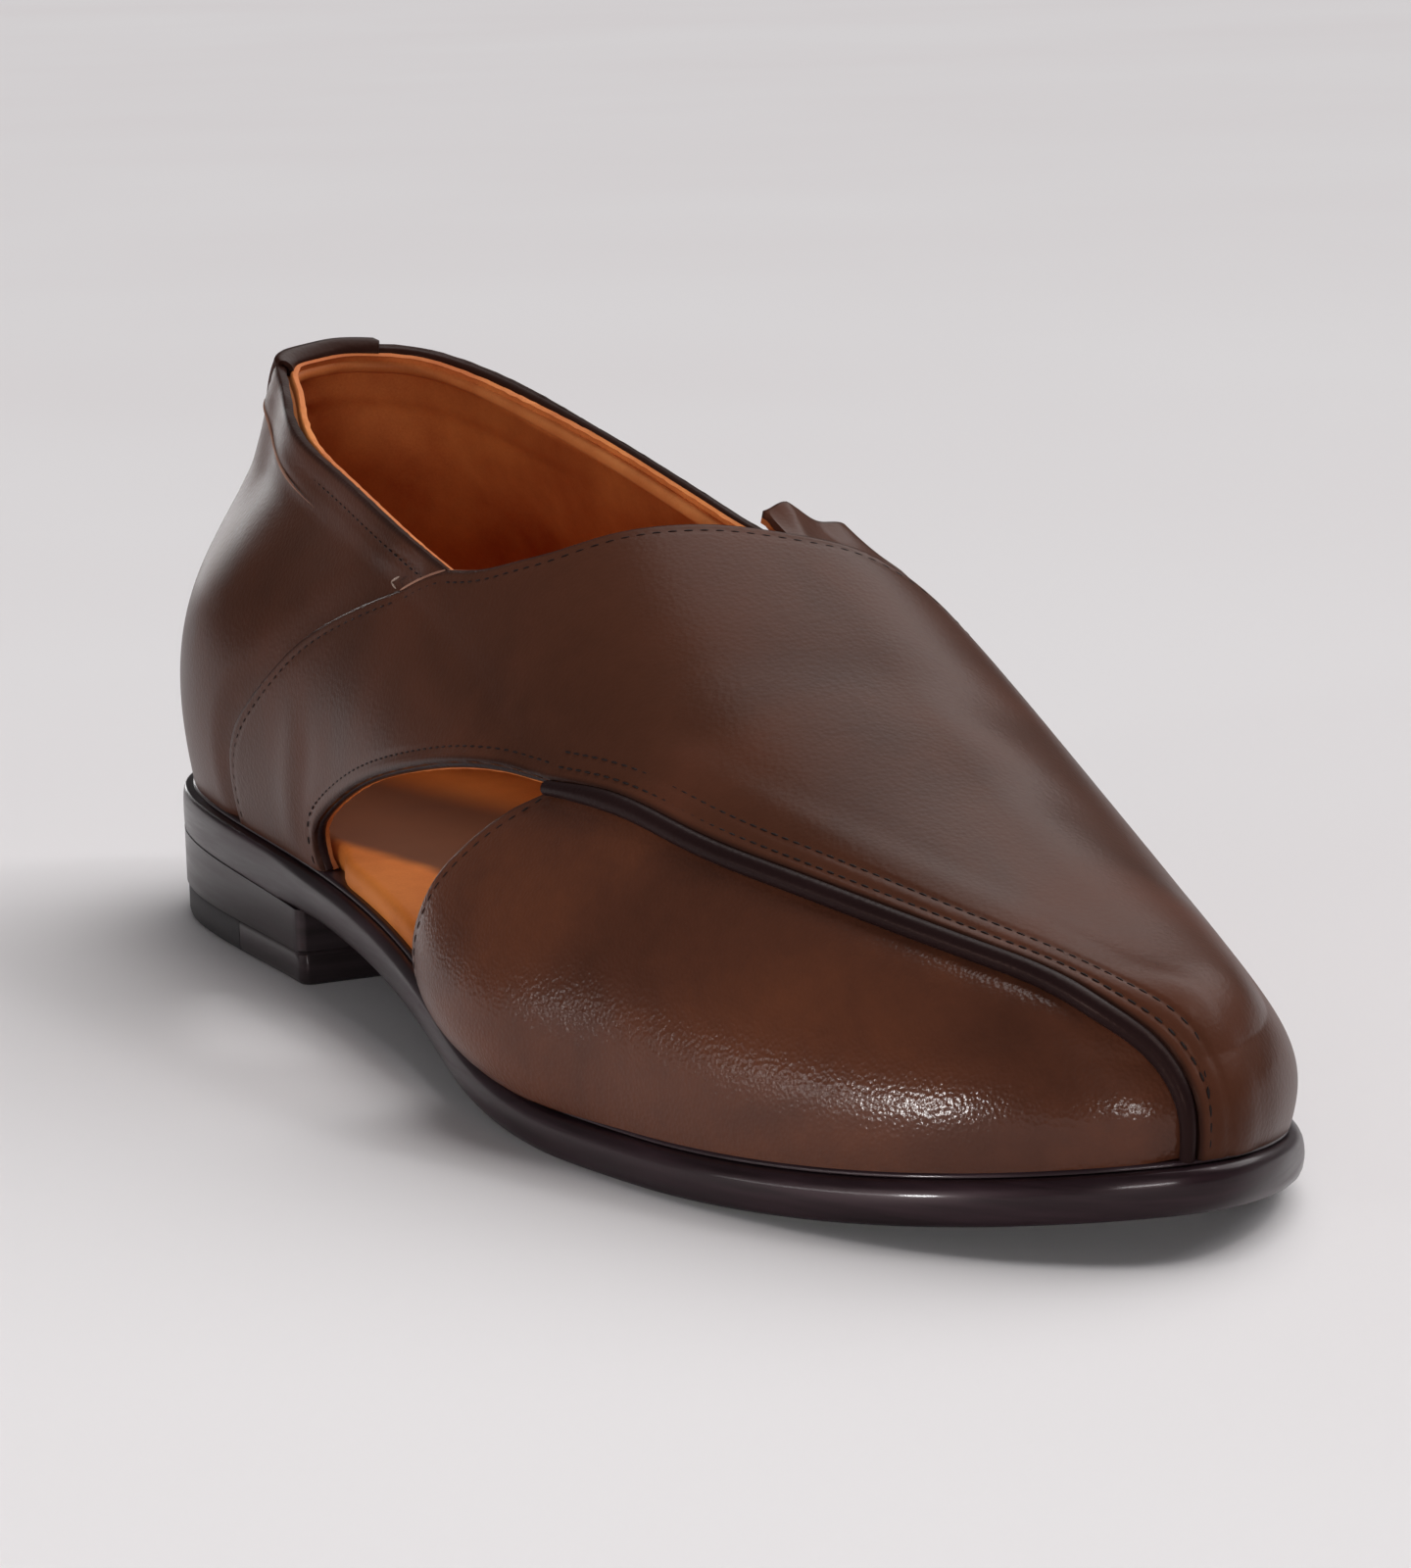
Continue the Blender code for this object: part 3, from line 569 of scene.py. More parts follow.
@dataclass
class Panel:
    """A sheet of leather cut to a shape on the last, with rounded free edges."""

    name: str
    grid: Array
    out: float
    thick: float
    free: list[Array]
    roll: float
    traces: list[Trace]
    lift: Callable[[Array], Array] | None
    rims: tuple[str, ...]
    roll_share: float = 0.75

    def heights(self, points: Array) -> tuple[Array, Array]:
        """How far each point stands off the last, and its distance from the nearest free edge."""
        off = np.full(points.shape[:-1], self.out)
        edge = np.full(points.shape[:-1], FAR_MM)
        for line in self.free:
            edge = np.minimum(edge, nearest(points, line))
        inward = np.clip(edge / self.roll, 0, 1)
        off -= self.roll * (1 - np.sqrt(np.maximum(1 - (1 - inward) ** 2, 0))) * self.roll_share
        for trace in self.traces:
            off += trace.at(points)
        if self.lift:
            off += self.lift(points)
        return off, edge

    def build(self, finish: "Finish", slot: str) -> bpy.types.Object:
        """Makes the sheet.

        Args:
            finish: its material.
            slot: not used.

        Returns:
            The object.
        """
        run, girth = self.grid[..., 0], self.grid[..., 1]
        across = LAST.across_of(run, girth)
        surface, normal = LAST.facing(run, across)
        off, edge = self.heights(surface)
        faces = [LAST.place(surface + normal * (off - depth)[..., None]) for depth in (0.0, self.thick)]
        bm = bmesh.new()
        layer = bm.verts.layers.float.new("edge_mm")
        for place in faces:
            for vert, where in sheet(bm, place):
                vert[layer] = float(edge[where])
        borders = {"left": np.s_[0, :], "right": np.s_[-1, :], "bottom": np.s_[:, 0], "top": np.s_[:, -1]}
        for border in self.rims:
            cut = borders[border]
            for vert, (_, j) in sheet(bm, np.stack([place[cut] for place in faces])):
                vert[layer] = float(edge[cut][j])
        close(bm)
        return finish_mesh(bm, self.name, finish)


# ---------------------------------------------------------------- mesh helpers
def sheet(bm: bmesh.types.BMesh, places: Array) -> list[tuple[bmesh.types.BMVert, tuple[int, int]]]:
    """A grid mapped on an array of corners.

    Args:
        bm: the mesh to add it to.
        places: corners in metres, by station along and station up.

    Returns:
        Each corner with its two stations.
    """
    rows, cols = places.shape[0] - 1, places.shape[1] - 1
    made = bmesh.ops.create_grid(bm, x_segments=rows, y_segments=cols, size=0.5)["verts"]
    index = []
    for vert in made:
        i, j = round((vert.co.x + 0.5) * rows), round((vert.co.y + 0.5) * cols)
        vert.co = places[i, j]
        index.append((vert, (i, j)))
    return index


def close(bm: bmesh.types.BMesh, within: float = WELD, small: float = SMALL) -> None:
    """Merges doubled corners, takes out edges of no length, and turns the faces outwards."""
    bmesh.ops.remove_doubles(bm, verts=bm.verts, dist=within)
    if small:
        bmesh.ops.dissolve_degenerate(bm, edges=bm.edges, dist=small)
    bmesh.ops.recalc_face_normals(bm, faces=bm.faces)


def finish_mesh(bm: bmesh.types.BMesh, name: str, finish: "Finish", sharp: float = 42.0,
                ) -> bpy.types.Object:
    """Turns a bmesh into a dressed object that rides on the shoe.

    Args:
        bm: the mesh, freed here.
        name: the object's name.
        finish: its material.
        sharp: edges over this angle stay sharp, in degrees.

    Returns:
        The object.
    """
    mesh = bpy.data.meshes.new(name)
    bm.to_mesh(mesh)
    bm.free()
    mesh.shade_smooth()
    mesh.set_sharp_from_angle(angle=math.radians(sharp))
    mesh.materials.append(finish.material())
    obj = bpy.data.objects.new(name, mesh)
    bpy.context.scene.collection.objects.link(obj)
    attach(obj, "root")
    LOG.info("%s: %d faces", name, len(mesh.polygons))
    return obj


def frames_along(points: Array, normals: Array) -> tuple[Array, Array, Array]:
    """Tangent, outward and sideways directions at each point of a run."""
    ahead = np.gradient(points, axis=0)
    ahead /= np.maximum(np.linalg.norm(ahead, axis=1, keepdims=True), 1e-9)
    out = normals - (normals * ahead).sum(1, keepdims=True) * ahead
    out /= np.maximum(np.linalg.norm(out, axis=1, keepdims=True), 1e-9)
    return ahead, out, np.cross(ahead, out)


def tube(name: str, points: Array, normals: Array, radius: Array, finish: "Finish",
         round_count: int = 14) -> bpy.types.Object:
    """A closed cord of leather along points.

    Args:
        name: the object's name.
        points: shoe millimetres.
        normals: outward directions.
        radius: millimetres, one per point.
        finish: its material.
        round_count: faces round it.

    Returns:
        The object.
    """
    _, out, side = frames_along(points, normals)
    turn = np.linspace(0, 2 * np.pi, round_count + 1)
    ring = np.cos(turn)[None, :, None] * side[:, None] + np.sin(turn)[None, :, None] * out[:, None]
    body = points[:, None] + ring * radius[:, None, None]
    first, last = (np.repeat(end[:, None], round_count + 1, 1) for end in (points[:1], points[-1:]))
    body = np.concatenate([first, body, last])
    bm = bmesh.new()
    sheet(bm, LAST.place(body))
    close(bm, CORD_WELD, small=0.0)
    return finish_mesh(bm, name, finish)


def on_last(line: Line, shift: float, out: float, spacing: float = 1.0) -> tuple[Array, Array]:
    """Points beside a line on the last.

    Args:
        line: the line.
        shift: millimetres to its left, seen from outside and looking along it.
        out: height off the last.
        spacing: distance between points.

    Returns:
        Points in shoe millimetres and outward directions.
    """
    places = line.at(max(int(lengths_along(line.points())[-1] / spacing), 2))
    across = LAST.across_of(places[:, 0], places[:, 1])
    points, normals = LAST.facing(places[:, 0], across)
    _, up, side = frames_along(points, normals)
    if shift:
        moved = points - side * shift
        medial = across * np.where((places[:, 0] < 0) | (places[:, 0] > 1), -1, 1) > 0
        run, level = np.zeros(len(moved)), np.zeros(len(moved))
        for side, mine in ((Side.MEDIAL, medial), (Side.LATERAL, ~medial)):
            if mine.any():
                run[mine], level[mine] = LAST.find(moved[mine], side)
        points, normals = LAST.facing(run, level)
    return points + normals * out, normals


def softened(points: Array, rounds: int) -> Array:
    """A run of points with its small kinks taken out and its ends kept."""
    for _ in range(rounds):
        points = np.concatenate([points[:1], (points[:-2] + 2 * points[1:-1] + points[2:]) / 4, points[-1:]])
    return points


def stitches(name: str, points: Array, ways: Array, outs: Array, finish: "Finish", length: float = 1.35,
             thick: float = 0.17) -> bpy.types.Object:
    """Small thread stitches in one mesh.

    Args:
        name: the object's name.
        points: middles in shoe millimetres.
        ways: direction of each.
        outs: outward direction at each.
        finish: the thread.
        length: millimetres of one stitch.
        thick: its radius.

    Returns:
        The object.
    """
    bm = bmesh.new()
    bmesh.ops.create_uvsphere(bm, u_segments=6, v_segments=5, radius=1.0)
    stitch = bpy.data.meshes.new("stitch")
    bm.to_mesh(stitch)
    bm.clear()
    ball = np.array([v.co for v in stitch.vertices])
    for place, way, out, side in zip(LAST.place(points), ways, outs, np.cross(ways, outs)):
        shape = np.stack([side * thick, out * thick * 0.8, way * length / 2]) * MM
        stitch.vertices.foreach_set("co", (ball @ shape + place).ravel())
        bm.from_mesh(stitch)
    bpy.data.meshes.remove(stitch)
    return finish_mesh(bm, name, finish)


# ---------------------------------------------------------------- materials
def linear(hex_code: str, alpha: float = 1.0) -> tuple[float, float, float, float]:
    """An sRGB hex colour as linear numbers."""
    parts = [int(hex_code[i : i + 2], 16) / 255 for i in (0, 2, 4)]
    red, green, blue = [c / 12.92 if c <= 0.04045 else ((c + 0.055) / 1.055) ** 2.4 for c in parts]
    return red, green, blue, alpha


def add(tree: bpy.types.NodeTree, kind: str, settings: dict | None = None, inputs: dict | None = None,
        ) -> bpy.types.Node:
    """Adds a node.

    Args:
        tree: the material's tree.
        kind: the node's type.
        settings: its properties.
        inputs: values or sockets to link, by input name or number.

    Returns:
        The node.
    """
    made = tree.nodes.new(kind)
    for name, value in (settings or {}).items():
        setattr(made, name, value)
    for name, value in (inputs or {}).items():
        if isinstance(value, bpy.types.NodeSocket):
            tree.links.new(value, made.inputs[name])
        else:
            made.inputs[name].default_value = value
    return made


def object_place(tree: bpy.types.NodeTree) -> bpy.types.NodeSocket:
    """The place on the piece, which every pattern here is laid out in."""
    return add(tree, "ShaderNodeTexCoord").outputs["Object"]


def noise(tree: bpy.types.NodeTree, place: bpy.types.NodeSocket, size_mm: float, detail: float,
          rough: float = 0.6, swirl: float = 0.0) -> bpy.types.NodeSocket:
    """Cloudy noise.

    Args:
        tree: the material's tree.
        place: where it is read.
        size_mm: size of its clouds.
        detail: how many finer layers it has.
        rough: how strong they are.
        swirl: how far it is stirred.

    Returns:
        Its value.
    """
    return add(tree, "ShaderNodeTexNoise", inputs={
        "Vector": place, "Scale": 1 / (size_mm * MM), "Detail": detail, "Roughness": rough,
        "Distortion": swirl}).outputs["Fac"]


def mapped(tree: bpy.types.NodeTree, value: bpy.types.NodeSocket, start: tuple[float, float],
           end: tuple[float, float], soft: bool = False) -> bpy.types.NodeSocket:
    """A value mapped from one range to another.

    Args:
        tree: the material's tree.
        value: the value.
        start: its own range.
        end: the range that it goes to.
        soft: ease in and out of both ends.

    Returns:
        The mapped value.
    """
    kind = {"interpolation_type": "SMOOTHSTEP" if soft else "LINEAR"}
    return add(tree, "ShaderNodeMapRange", kind, {
        "Value": value, "From Min": start[0], "From Max": start[1], "To Min": end[0],
        "To Max": end[1]}).outputs["Result"]


def sums(tree: bpy.types.NodeTree, kind: str, *values: bpy.types.NodeSocket | float) -> bpy.types.NodeSocket:
    """A sum of the kind named, over values or sockets."""
    return add(tree, "ShaderNodeMath", {"operation": kind}, dict(enumerate(values))).outputs[0]


def over(tree: bpy.types.NodeTree, share: bpy.types.NodeSocket, colour: bpy.types.NodeSocket, top: str,
         ) -> bpy.types.NodeSocket:
    """A hex colour laid over another by a share."""
    return add(tree, "ShaderNodeMix", {"data_type": "RGBA"}, {0: share, 6: colour, 7: linear(top)}).outputs[2]


def raised(tree: bpy.types.NodeTree, shader: bpy.types.Node, height: bpy.types.NodeSocket, strength: float,
           deep_mm: float) -> bpy.types.NodeSocket:
    """Gives the shader a relief from a height, and returns its normal."""
    bump = add(tree, "ShaderNodeBump", inputs={
        "Strength": strength, "Distance": deep_mm * MM, "Height": height})
    tree.links.new(bump.outputs["Normal"], shader.inputs["Normal"])
    return bump.outputs["Normal"]


def constants(shader: bpy.types.Node, **settings: float | tuple[float, ...]) -> None:
    """Puts constants on the shader's inputs, each named with _ for a space."""
    for name, value in settings.items():
        shader.inputs[name.replace("_", " ")].default_value = value


def ramp(tree: bpy.types.NodeTree, source: bpy.types.NodeSocket, stops: Sequence[tuple[float, str]],
         ) -> bpy.types.NodeSocket:
    """A colour ramp over a value.

    Args:
        tree: the material's tree.
        source: the value.
        stops: position and hex colour of each stop.

    Returns:
        The colour socket.
    """
    made = add(tree, "ShaderNodeValToRGB", inputs={"Fac": source})
    points = made.color_ramp.elements
    while len(points) < len(stops):
        points.new(0.5)
    for point, (place, colour) in zip(points, stops):
        point.position, point.color = place, linear(colour)
    return made.outputs["Color"]


@dataclass(frozen=True)
class Finish:
    """A material, built once and shared."""

    name: str

    def material(self) -> bpy.types.Material:
        """The material, made on first use."""
        found = bpy.data.materials.get(self.name)
        if found:
            return found
        made = bpy.data.materials.new(self.name)
        made.use_nodes = True
        self.dress(made.node_tree, made.node_tree.nodes["Principled BSDF"])
        return made

    def dress(self, tree: bpy.types.NodeTree, shader: bpy.types.Node) -> None:
        """Adds the nodes; each finish has its own."""
        raise NotImplementedError


@dataclass(frozen=True)
class UpperLeather(Finish):
    """Full-grain calf, aniline dyed and waxed: brown with redder and darker clouds from hand polish, a fine
    pebble grain that only shows where light glances, and edges darkened by edge dye."""

    deep: str = "3F251B"
    mid: str = "4B2C20"
    light: str = "553124"
    glance: str = "D2A08C"
    relief: float = 0.30
    cloud_mm: float = 34.0
    grain_mm: float = 0.75
    pore_mm: float = 0.28
    gloss: float = 0.31
    coat: float = 0.01
    coat_gloss: float = 0.20
    shine: float = 0.09
    edge_mm: float = 1.1

    def dress(self, tree: bpy.types.NodeTree, shader: bpy.types.Node) -> None:
        """Clouded dye, burnished edges and grain."""
        place = object_place(tree)
        cloud = noise(tree, place, self.cloud_mm, 2.5, 0.5, 0.6)
        blend = sums(tree, "MULTIPLY_ADD", noise(tree, place, 2.6, 3.0), 0.16, cloud)
        colour = ramp(tree, blend, ((0.34, self.deep), (0.58, self.mid), (0.84, self.light)))
        edge = add(tree, "ShaderNodeAttribute", {"attribute_name": "edge_mm"}).outputs["Fac"]
        near = mapped(tree, edge, (0.1, self.edge_mm), (0.75, 0.0), soft=True)
        tree.links.new(over(tree, near, colour, "1E1312"), shader.inputs["Base Color"])
        pebble = add(tree, "ShaderNodeTexVoronoi", {"feature": "SMOOTH_F1"}, {
            "Vector": place, "Scale": 1 / (self.grain_mm * MM), "Smoothness": 0.6, "Randomness": 1.0})
        height = sums(tree, "MULTIPLY_ADD", noise(tree, place, self.pore_mm, 2.0), 0.35,
                      pebble.outputs["Distance"])
        tree.links.new(raised(tree, shader, height, self.relief, 0.10), shader.inputs["Coat Normal"])
        rough = mapped(tree, cloud, (0.3, 0.7), (self.gloss - 0.03, self.gloss + 0.06))
        tree.links.new(rough, shader.inputs["Roughness"])
        constants(shader, Coat_Weight=self.coat, Coat_Roughness=self.coat_gloss,
                  Specular_IOR_Level=self.shine, Specular_Tint=linear(self.glance))


@dataclass(frozen=True)
class LiningLeather(Finish):
    """Vegetable-tanned lining leather: warm tan, matt and fibrous.

    Painted shade deepens downwards between two heights, standing in for the shade low inside the shoe. A
    painted shadow of the strap crosses the foot on a slant, between four distances: where it starts, is full,
    begins to fade and ends. It fades out towards the toe as well.
    """

    dark: str = "B95F31"
    light: str = "E48D4C"
    painted_shade: str = ""
    shade_from: float = 36.0
    shade_to: float = 12.0
    strap_shadow: str = ""
    strap_shadow_band: tuple[float, float, float, float] = (-97.0, -45.0, 58.0, 76.0)
    strap_shadow_slant: float = -3.8
    strap_shadow_end: float = 20.0
    strap_shadow_fade: float = 40.0
    cloud_mm: float = 22.0
    fibre_mm: float = 0.45
    roughness: float = 0.62

    def dress(self, tree: bpy.types.NodeTree, shader: bpy.types.Node) -> None:
        """Cloudy tan with a soft nap, with painted shade and a painted strap shadow where they are set."""
        place = object_place(tree)
        cloud = noise(tree, place, self.cloud_mm, 4.0, 0.55)
        nap = noise(tree, place, self.fibre_mm, 4.0, 0.7)
        mixed = sums(tree, "MULTIPLY_ADD", nap, 0.25, cloud)
        colour = ramp(tree, mixed, ((0.42, self.dark), (0.80, self.light)))
        # painted shade: the lining darkens towards the bottom, standing in for the shade low inside the shoe
        if self.painted_shade:
            height = add(tree, "ShaderNodeSeparateXYZ", inputs={"Vector": place}).outputs["Z"]
            low = mapped(tree, height, (self.shade_from * MM, self.shade_to * MM), (0.0, 0.85), soft=True)
            colour = over(tree, low, colour, self.painted_shade)
        # painted shadow of the strap: a darker band on a slant across the sock, fading towards the toe
        if self.strap_shadow:
            slant = add(tree, "ShaderNodeVectorMath", {"operation": "DOT_PRODUCT"}, {
                0: place, 1: (1.0, self.strap_shadow_slant, 0.0)})
            wavy = sums(tree, "MULTIPLY_ADD", cloud, 0.02, slant.outputs["Value"])
            start, full, fading, end = (edge * MM for edge in self.strap_shadow_band)
            share = sums(tree, "MULTIPLY", mapped(tree, wavy, (start, full), (0.0, 0.9), soft=True),
                         mapped(tree, wavy, (end, fading), (0.0, 1.0), soft=True))
            along = add(tree, "ShaderNodeSeparateXYZ", inputs={"Vector": place}).outputs["X"]
            behind = mapped(tree, along, (self.strap_shadow_end * MM, (self.strap_shadow_end - self.strap_shadow_fade) * MM),
                           (0.25, 1.0), soft=True)
            colour = over(tree, sums(tree, "MULTIPLY", share, behind), colour, self.strap_shadow)
        tree.links.new(colour, shader.inputs["Base Color"])
        raised(tree, shader, nap, 0.25, 0.12)
        constants(shader, Roughness=self.roughness, Specular_IOR_Level=0.15)


@dataclass(frozen=True)
class BurnishedEdge(Finish):
    """Stacked sole leather, sanded, dyed and waxed on a wheel: near-black with faint lengthwise layers and a
    low waxy shine."""

    dark: str = "1A1013"
    light: str = "2C1D22"
    glance: str = "E6C8CC"
    layer_mm: float = 1.6
    flatten: float = 14.0
    roughness: float = 0.34
    coat: float = 0.22

    def dress(self, tree: bpy.types.NodeTree, shader: bpy.types.Node) -> None:
        """Layered dye under wax."""
        place = object_place(tree)
        flat = add(tree, "ShaderNodeMapping", inputs={"Vector": place, "Scale": (1.0, 1.0, self.flatten)})
        layers = noise(tree, flat.outputs["Vector"], self.layer_mm * self.flatten, 4.0)
        dye = ramp(tree, layers, ((0.35, self.dark), (0.70, self.light)))
        tree.links.new(dye, shader.inputs["Base Color"])
        raised(tree, shader, noise(tree, place, 0.9, 3.0), 0.08, 0.06)
        rough = mapped(tree, layers, (0.3, 0.7), (self.roughness - 0.05, self.roughness + 0.10))
        tree.links.new(rough, shader.inputs["Roughness"])
        constants(shader, Coat_Weight=self.coat, Coat_Roughness=0.12, Specular_IOR_Level=0.25,
                  Specular_Tint=linear(self.glance))


@dataclass(frozen=True)
class WaxedThread(Finish):
    """Waxed polyester sewing thread, twisted: dark, with a dull shine."""

    colour: str = "1E1311"
    roughness: float = 0.55

    def dress(self, tree: bpy.types.NodeTree, shader: bpy.types.Node) -> None:
        """Slightly uneven thread."""
        raised(tree, shader, noise(tree, object_place(tree), 0.3, 2.0, 0.5), 0.5, 0.05)
        constants(shader, Base_Color=linear(self.colour), Roughness=self.roughness, Specular_IOR_Level=0.12)


@dataclass(frozen=True)
class HeelRubber(Finish):
    """Moulded rubber lift: matt black with a fine mould texture and scuffed high spots."""

    dark: str = "131112"
    light: str = "232021"

    def dress(self, tree: bpy.types.NodeTree, shader: bpy.types.Node) -> None:
        """Matt, slightly scuffed."""
        grit = noise(tree, object_place(tree), 0.8, 4.0, 0.7)
        tree.links.new(ramp(tree, grit, ((0.4, self.dark), (0.7, self.light))), shader.inputs["Base Color"])
        raised(tree, shader, grit, 0.3, 0.1)
        constants(shader, Roughness=0.55)


@dataclass(frozen=True)
class PaintedFloor(Finish):
    """Smooth matt studio board: pale, neutral, with hardly any gloss."""

    shade: str = "E4E0E1"
    tone: str = "E6E3E4"
    cloud_mm: float = 1000 / 3

    def dress(self, tree: bpy.types.NodeTree, shader: bpy.types.Node) -> None:
        """One even tone with a faint variation."""
        soft = noise(tree, object_place(tree), self.cloud_mm, 2.0, 0.5)
        tree.links.new(ramp(tree, soft, ((0.3, self.shade), (0.7, self.tone))), shader.inputs["Base Color"])
        constants(shader, Roughness=0.9, Specular_IOR_Level=0.0)


CALF = UpperLeather("waxed_calf")
VAMP_CALF = UpperLeather("waxed_calf_vamp", deep="3E2319", mid="4E2C1F", light="623724", relief=0.55,
                         grain_mm=0.6, coat=0.42, coat_gloss=0.15)
BEAD_CALF = UpperLeather("folded_calf_bead", deep="1E1215", mid="28191C", light="322123", gloss=0.34,
                         edge_mm=0.2)
# the lining carries painted shade, darker low inside the shoe
TAN = LiningLeather("tanned_lining", painted_shade="5A3220")
TAN_ROLL = LiningLeather("tanned_roll", dark="BC6634", light="E08E52", roughness=0.5)
# the sock carries a painted shadow of the strap in a slanting band
TAN_SOCK = LiningLeather("tanned_sock", dark="A9591F", light="D07A38", roughness=0.55, strap_shadow="533425")
BURNISHED = BurnishedEdge("burnished_sole_edge")
HEEL_STACK = BurnishedEdge("burnished_heel_stack", dark="1B1617", light="322A2C", layer_mm=2.6,
                           roughness=0.36)
RAW_EDGE = LiningLeather("raw_cut_edge", dark="7E5546", light="A67C68", roughness=0.6)
THREAD = WaxedThread("waxed_thread")
TACK_THREAD = WaxedThread("undyed_thread", colour="9A8478")
RUBBER = HeelRubber("moulded_rubber", dark="171315", light="262123")
BOARD = PaintedFloor("matt_board")


# ---------------------------------------------------------------- the pattern: lines cut and sewn on the last
def foot_place(x: float, side: Side) -> Array:
    """The place of the feather line at x."""
    return np.array([[float(LAST.rim.run_at(x)), float(side.value)]])


def joined(*parts: Array) -> Array:
    """Rows of places put one after another."""
    return np.concatenate(parts)


def places_of(keys: Sequence[tuple[float, ...]], side: Side) -> Array:
    """Rows of run and girth of key points on one side."""
    rows = [key if len(key) == 3 else (key[0], math.nan, key[1]) for key in keys]
    run, across = LAST.find(np.array(rows, float), side)
    return np.stack([run, LAST.girth_of(run, across)], -1)


@dataclass
class Pattern:
    """Lines of the upper in shoe millimetres, (x, z) or (x, y, z), and the collar's lean across the foot."""

    seam: tuple = ((60.5, 32.0), (65.0, 38.0), (69.2, 41.5), (77.0, 47.0), (87.6, 53.7), (102.7, 60.1),
                   (121.2, 66.0))
    seam_foot: float = 56.8
    notch_top: tuple = ((121.2, 66.0), (127.5, 68.4))
    notch_low: tuple = (134.5, -28.5, 70.4)
    collar: tuple = ((30.0, 90.4), (37.0, 88.7), (50.0, 85.9), (68.0, 82.5), (90.0, 78.8), (113.0, 75.0),
                     (127.0, 72.2), (137.0, 70.5))
    collar_back_z: float = 92.3
    lean: tuple = ((24.0, 0.1), (60.0, 0.33), (100.0, 0.33), (130.0, 0.12), (147.0, 0.12))
    throat_lateral: tuple = ((145.6, -27.2, 71.7), (154.0, -24.9, 73.8), (160.1, -21.9, 75.6),
                             (164.1, -18.0, 77.4), (167.1, -13.6, 78.6), (170.2, -8.2, 79.4),
                             (172.9, -2.0, 79.2))
    throat_medial: tuple = ((178.2, 10.8, 76.3), (179.6, 15.9, 74.6), (181.2, 20.5, 72.2),
                            (184.0, 28.0, 67.0), (187.0, 34.0, 60.0))
    strap_throat: tuple = ((141.0, 70.4), (149.0, 71.6), (157.0, 74.2), (163.5, 77.0))
    strap_peak: tuple = (169.0, 6.5, 80.2)
    rim_lateral: tuple = ((94.9, 23.4), (96.4, 26.0), (100.2, 28.6), (109.7, 32.9), (121.8, 37.4),
                          (136.7, 41.7), (152.6, 45.4), (167.2, 48.0), (179.0, 48.8), (189.8, 48.4))
    rim_foot: float = 95.9
    rim_medial: tuple = ((94.9, 23.6), (96.2, 27.0), (101.0, 31.0), (110.0, 35.3), (122.0, 39.8),
                         (136.0, 44.0), (151.0, 47.6), (166.0, 50.2), (178.0, 51.2), (189.4, 50.8))
    front_lateral: tuple = ((167.9, 19.5), (169.6, 24.8), (172.0, 29.5), (174.1, 33.3), (177.6, 37.4),
                            (181.9, 41.7), (185.9, 45.0), (189.8, 48.4))
    front_foot: float = 167.8
    front_medial: tuple = ((189.4, 50.8), (184.5, 47.4), (180.2, 43.8), (176.0, 39.2), (172.4, 34.6),
                           (170.0, 30.0), (168.2, 24.6), (167.2, 19.6))
    front_medial_foot: float = 166.8
    piping: tuple = ((189.8, -37.2, 48.4), (206.0, -32.9, 47.4), (220.0, -29.8, 44.8), (239.0, -24.3, 41.8),
                     (259.0, -17.1, 38.4), (271.0, -12.1, 36.3), (283.4, -7.4, 33.6), (292.0, -3.3, 29.6),
                     (295.5, -0.8, 25.9), (297.6, 0.6, 21.0))
    piping_foot: float = 0.004    # share of the run by which it goes on to the feather line

    def collar_line(self, side: Side) -> Array:
        """Places of the topline on one side, from the back of the heel forward."""
        keys = np.array([(x, math.nan, z) for x, z in self.collar])
        slopes = np.array(self.lean)
        run, across = LAST.find(keys, side)
        for _ in range(4):
            y = LAST.surface(run, across)[:, 1]
            moved = keys.copy()
            moved[:, 0] += y * np.interp(keys[:, 0], slopes[:, 0], slopes[:, 1])
            run, across = LAST.find(moved, side)
        return np.stack([run, LAST.girth_of(run, across)], -1)

    def collar_back(self) -> Array:
        """The place of the topline at the back seam, on the lateral sheet."""
        levels = -np.linspace(0.02, 1, 400)
        z = LAST.surface(np.zeros(400), levels)[:, 2]
        level = float(levels[np.abs(z - self.collar_back_z).argmin()])
        return np.array([[0.0, float(LAST.girth_of(np.zeros(1), np.array([level]))[0])]])


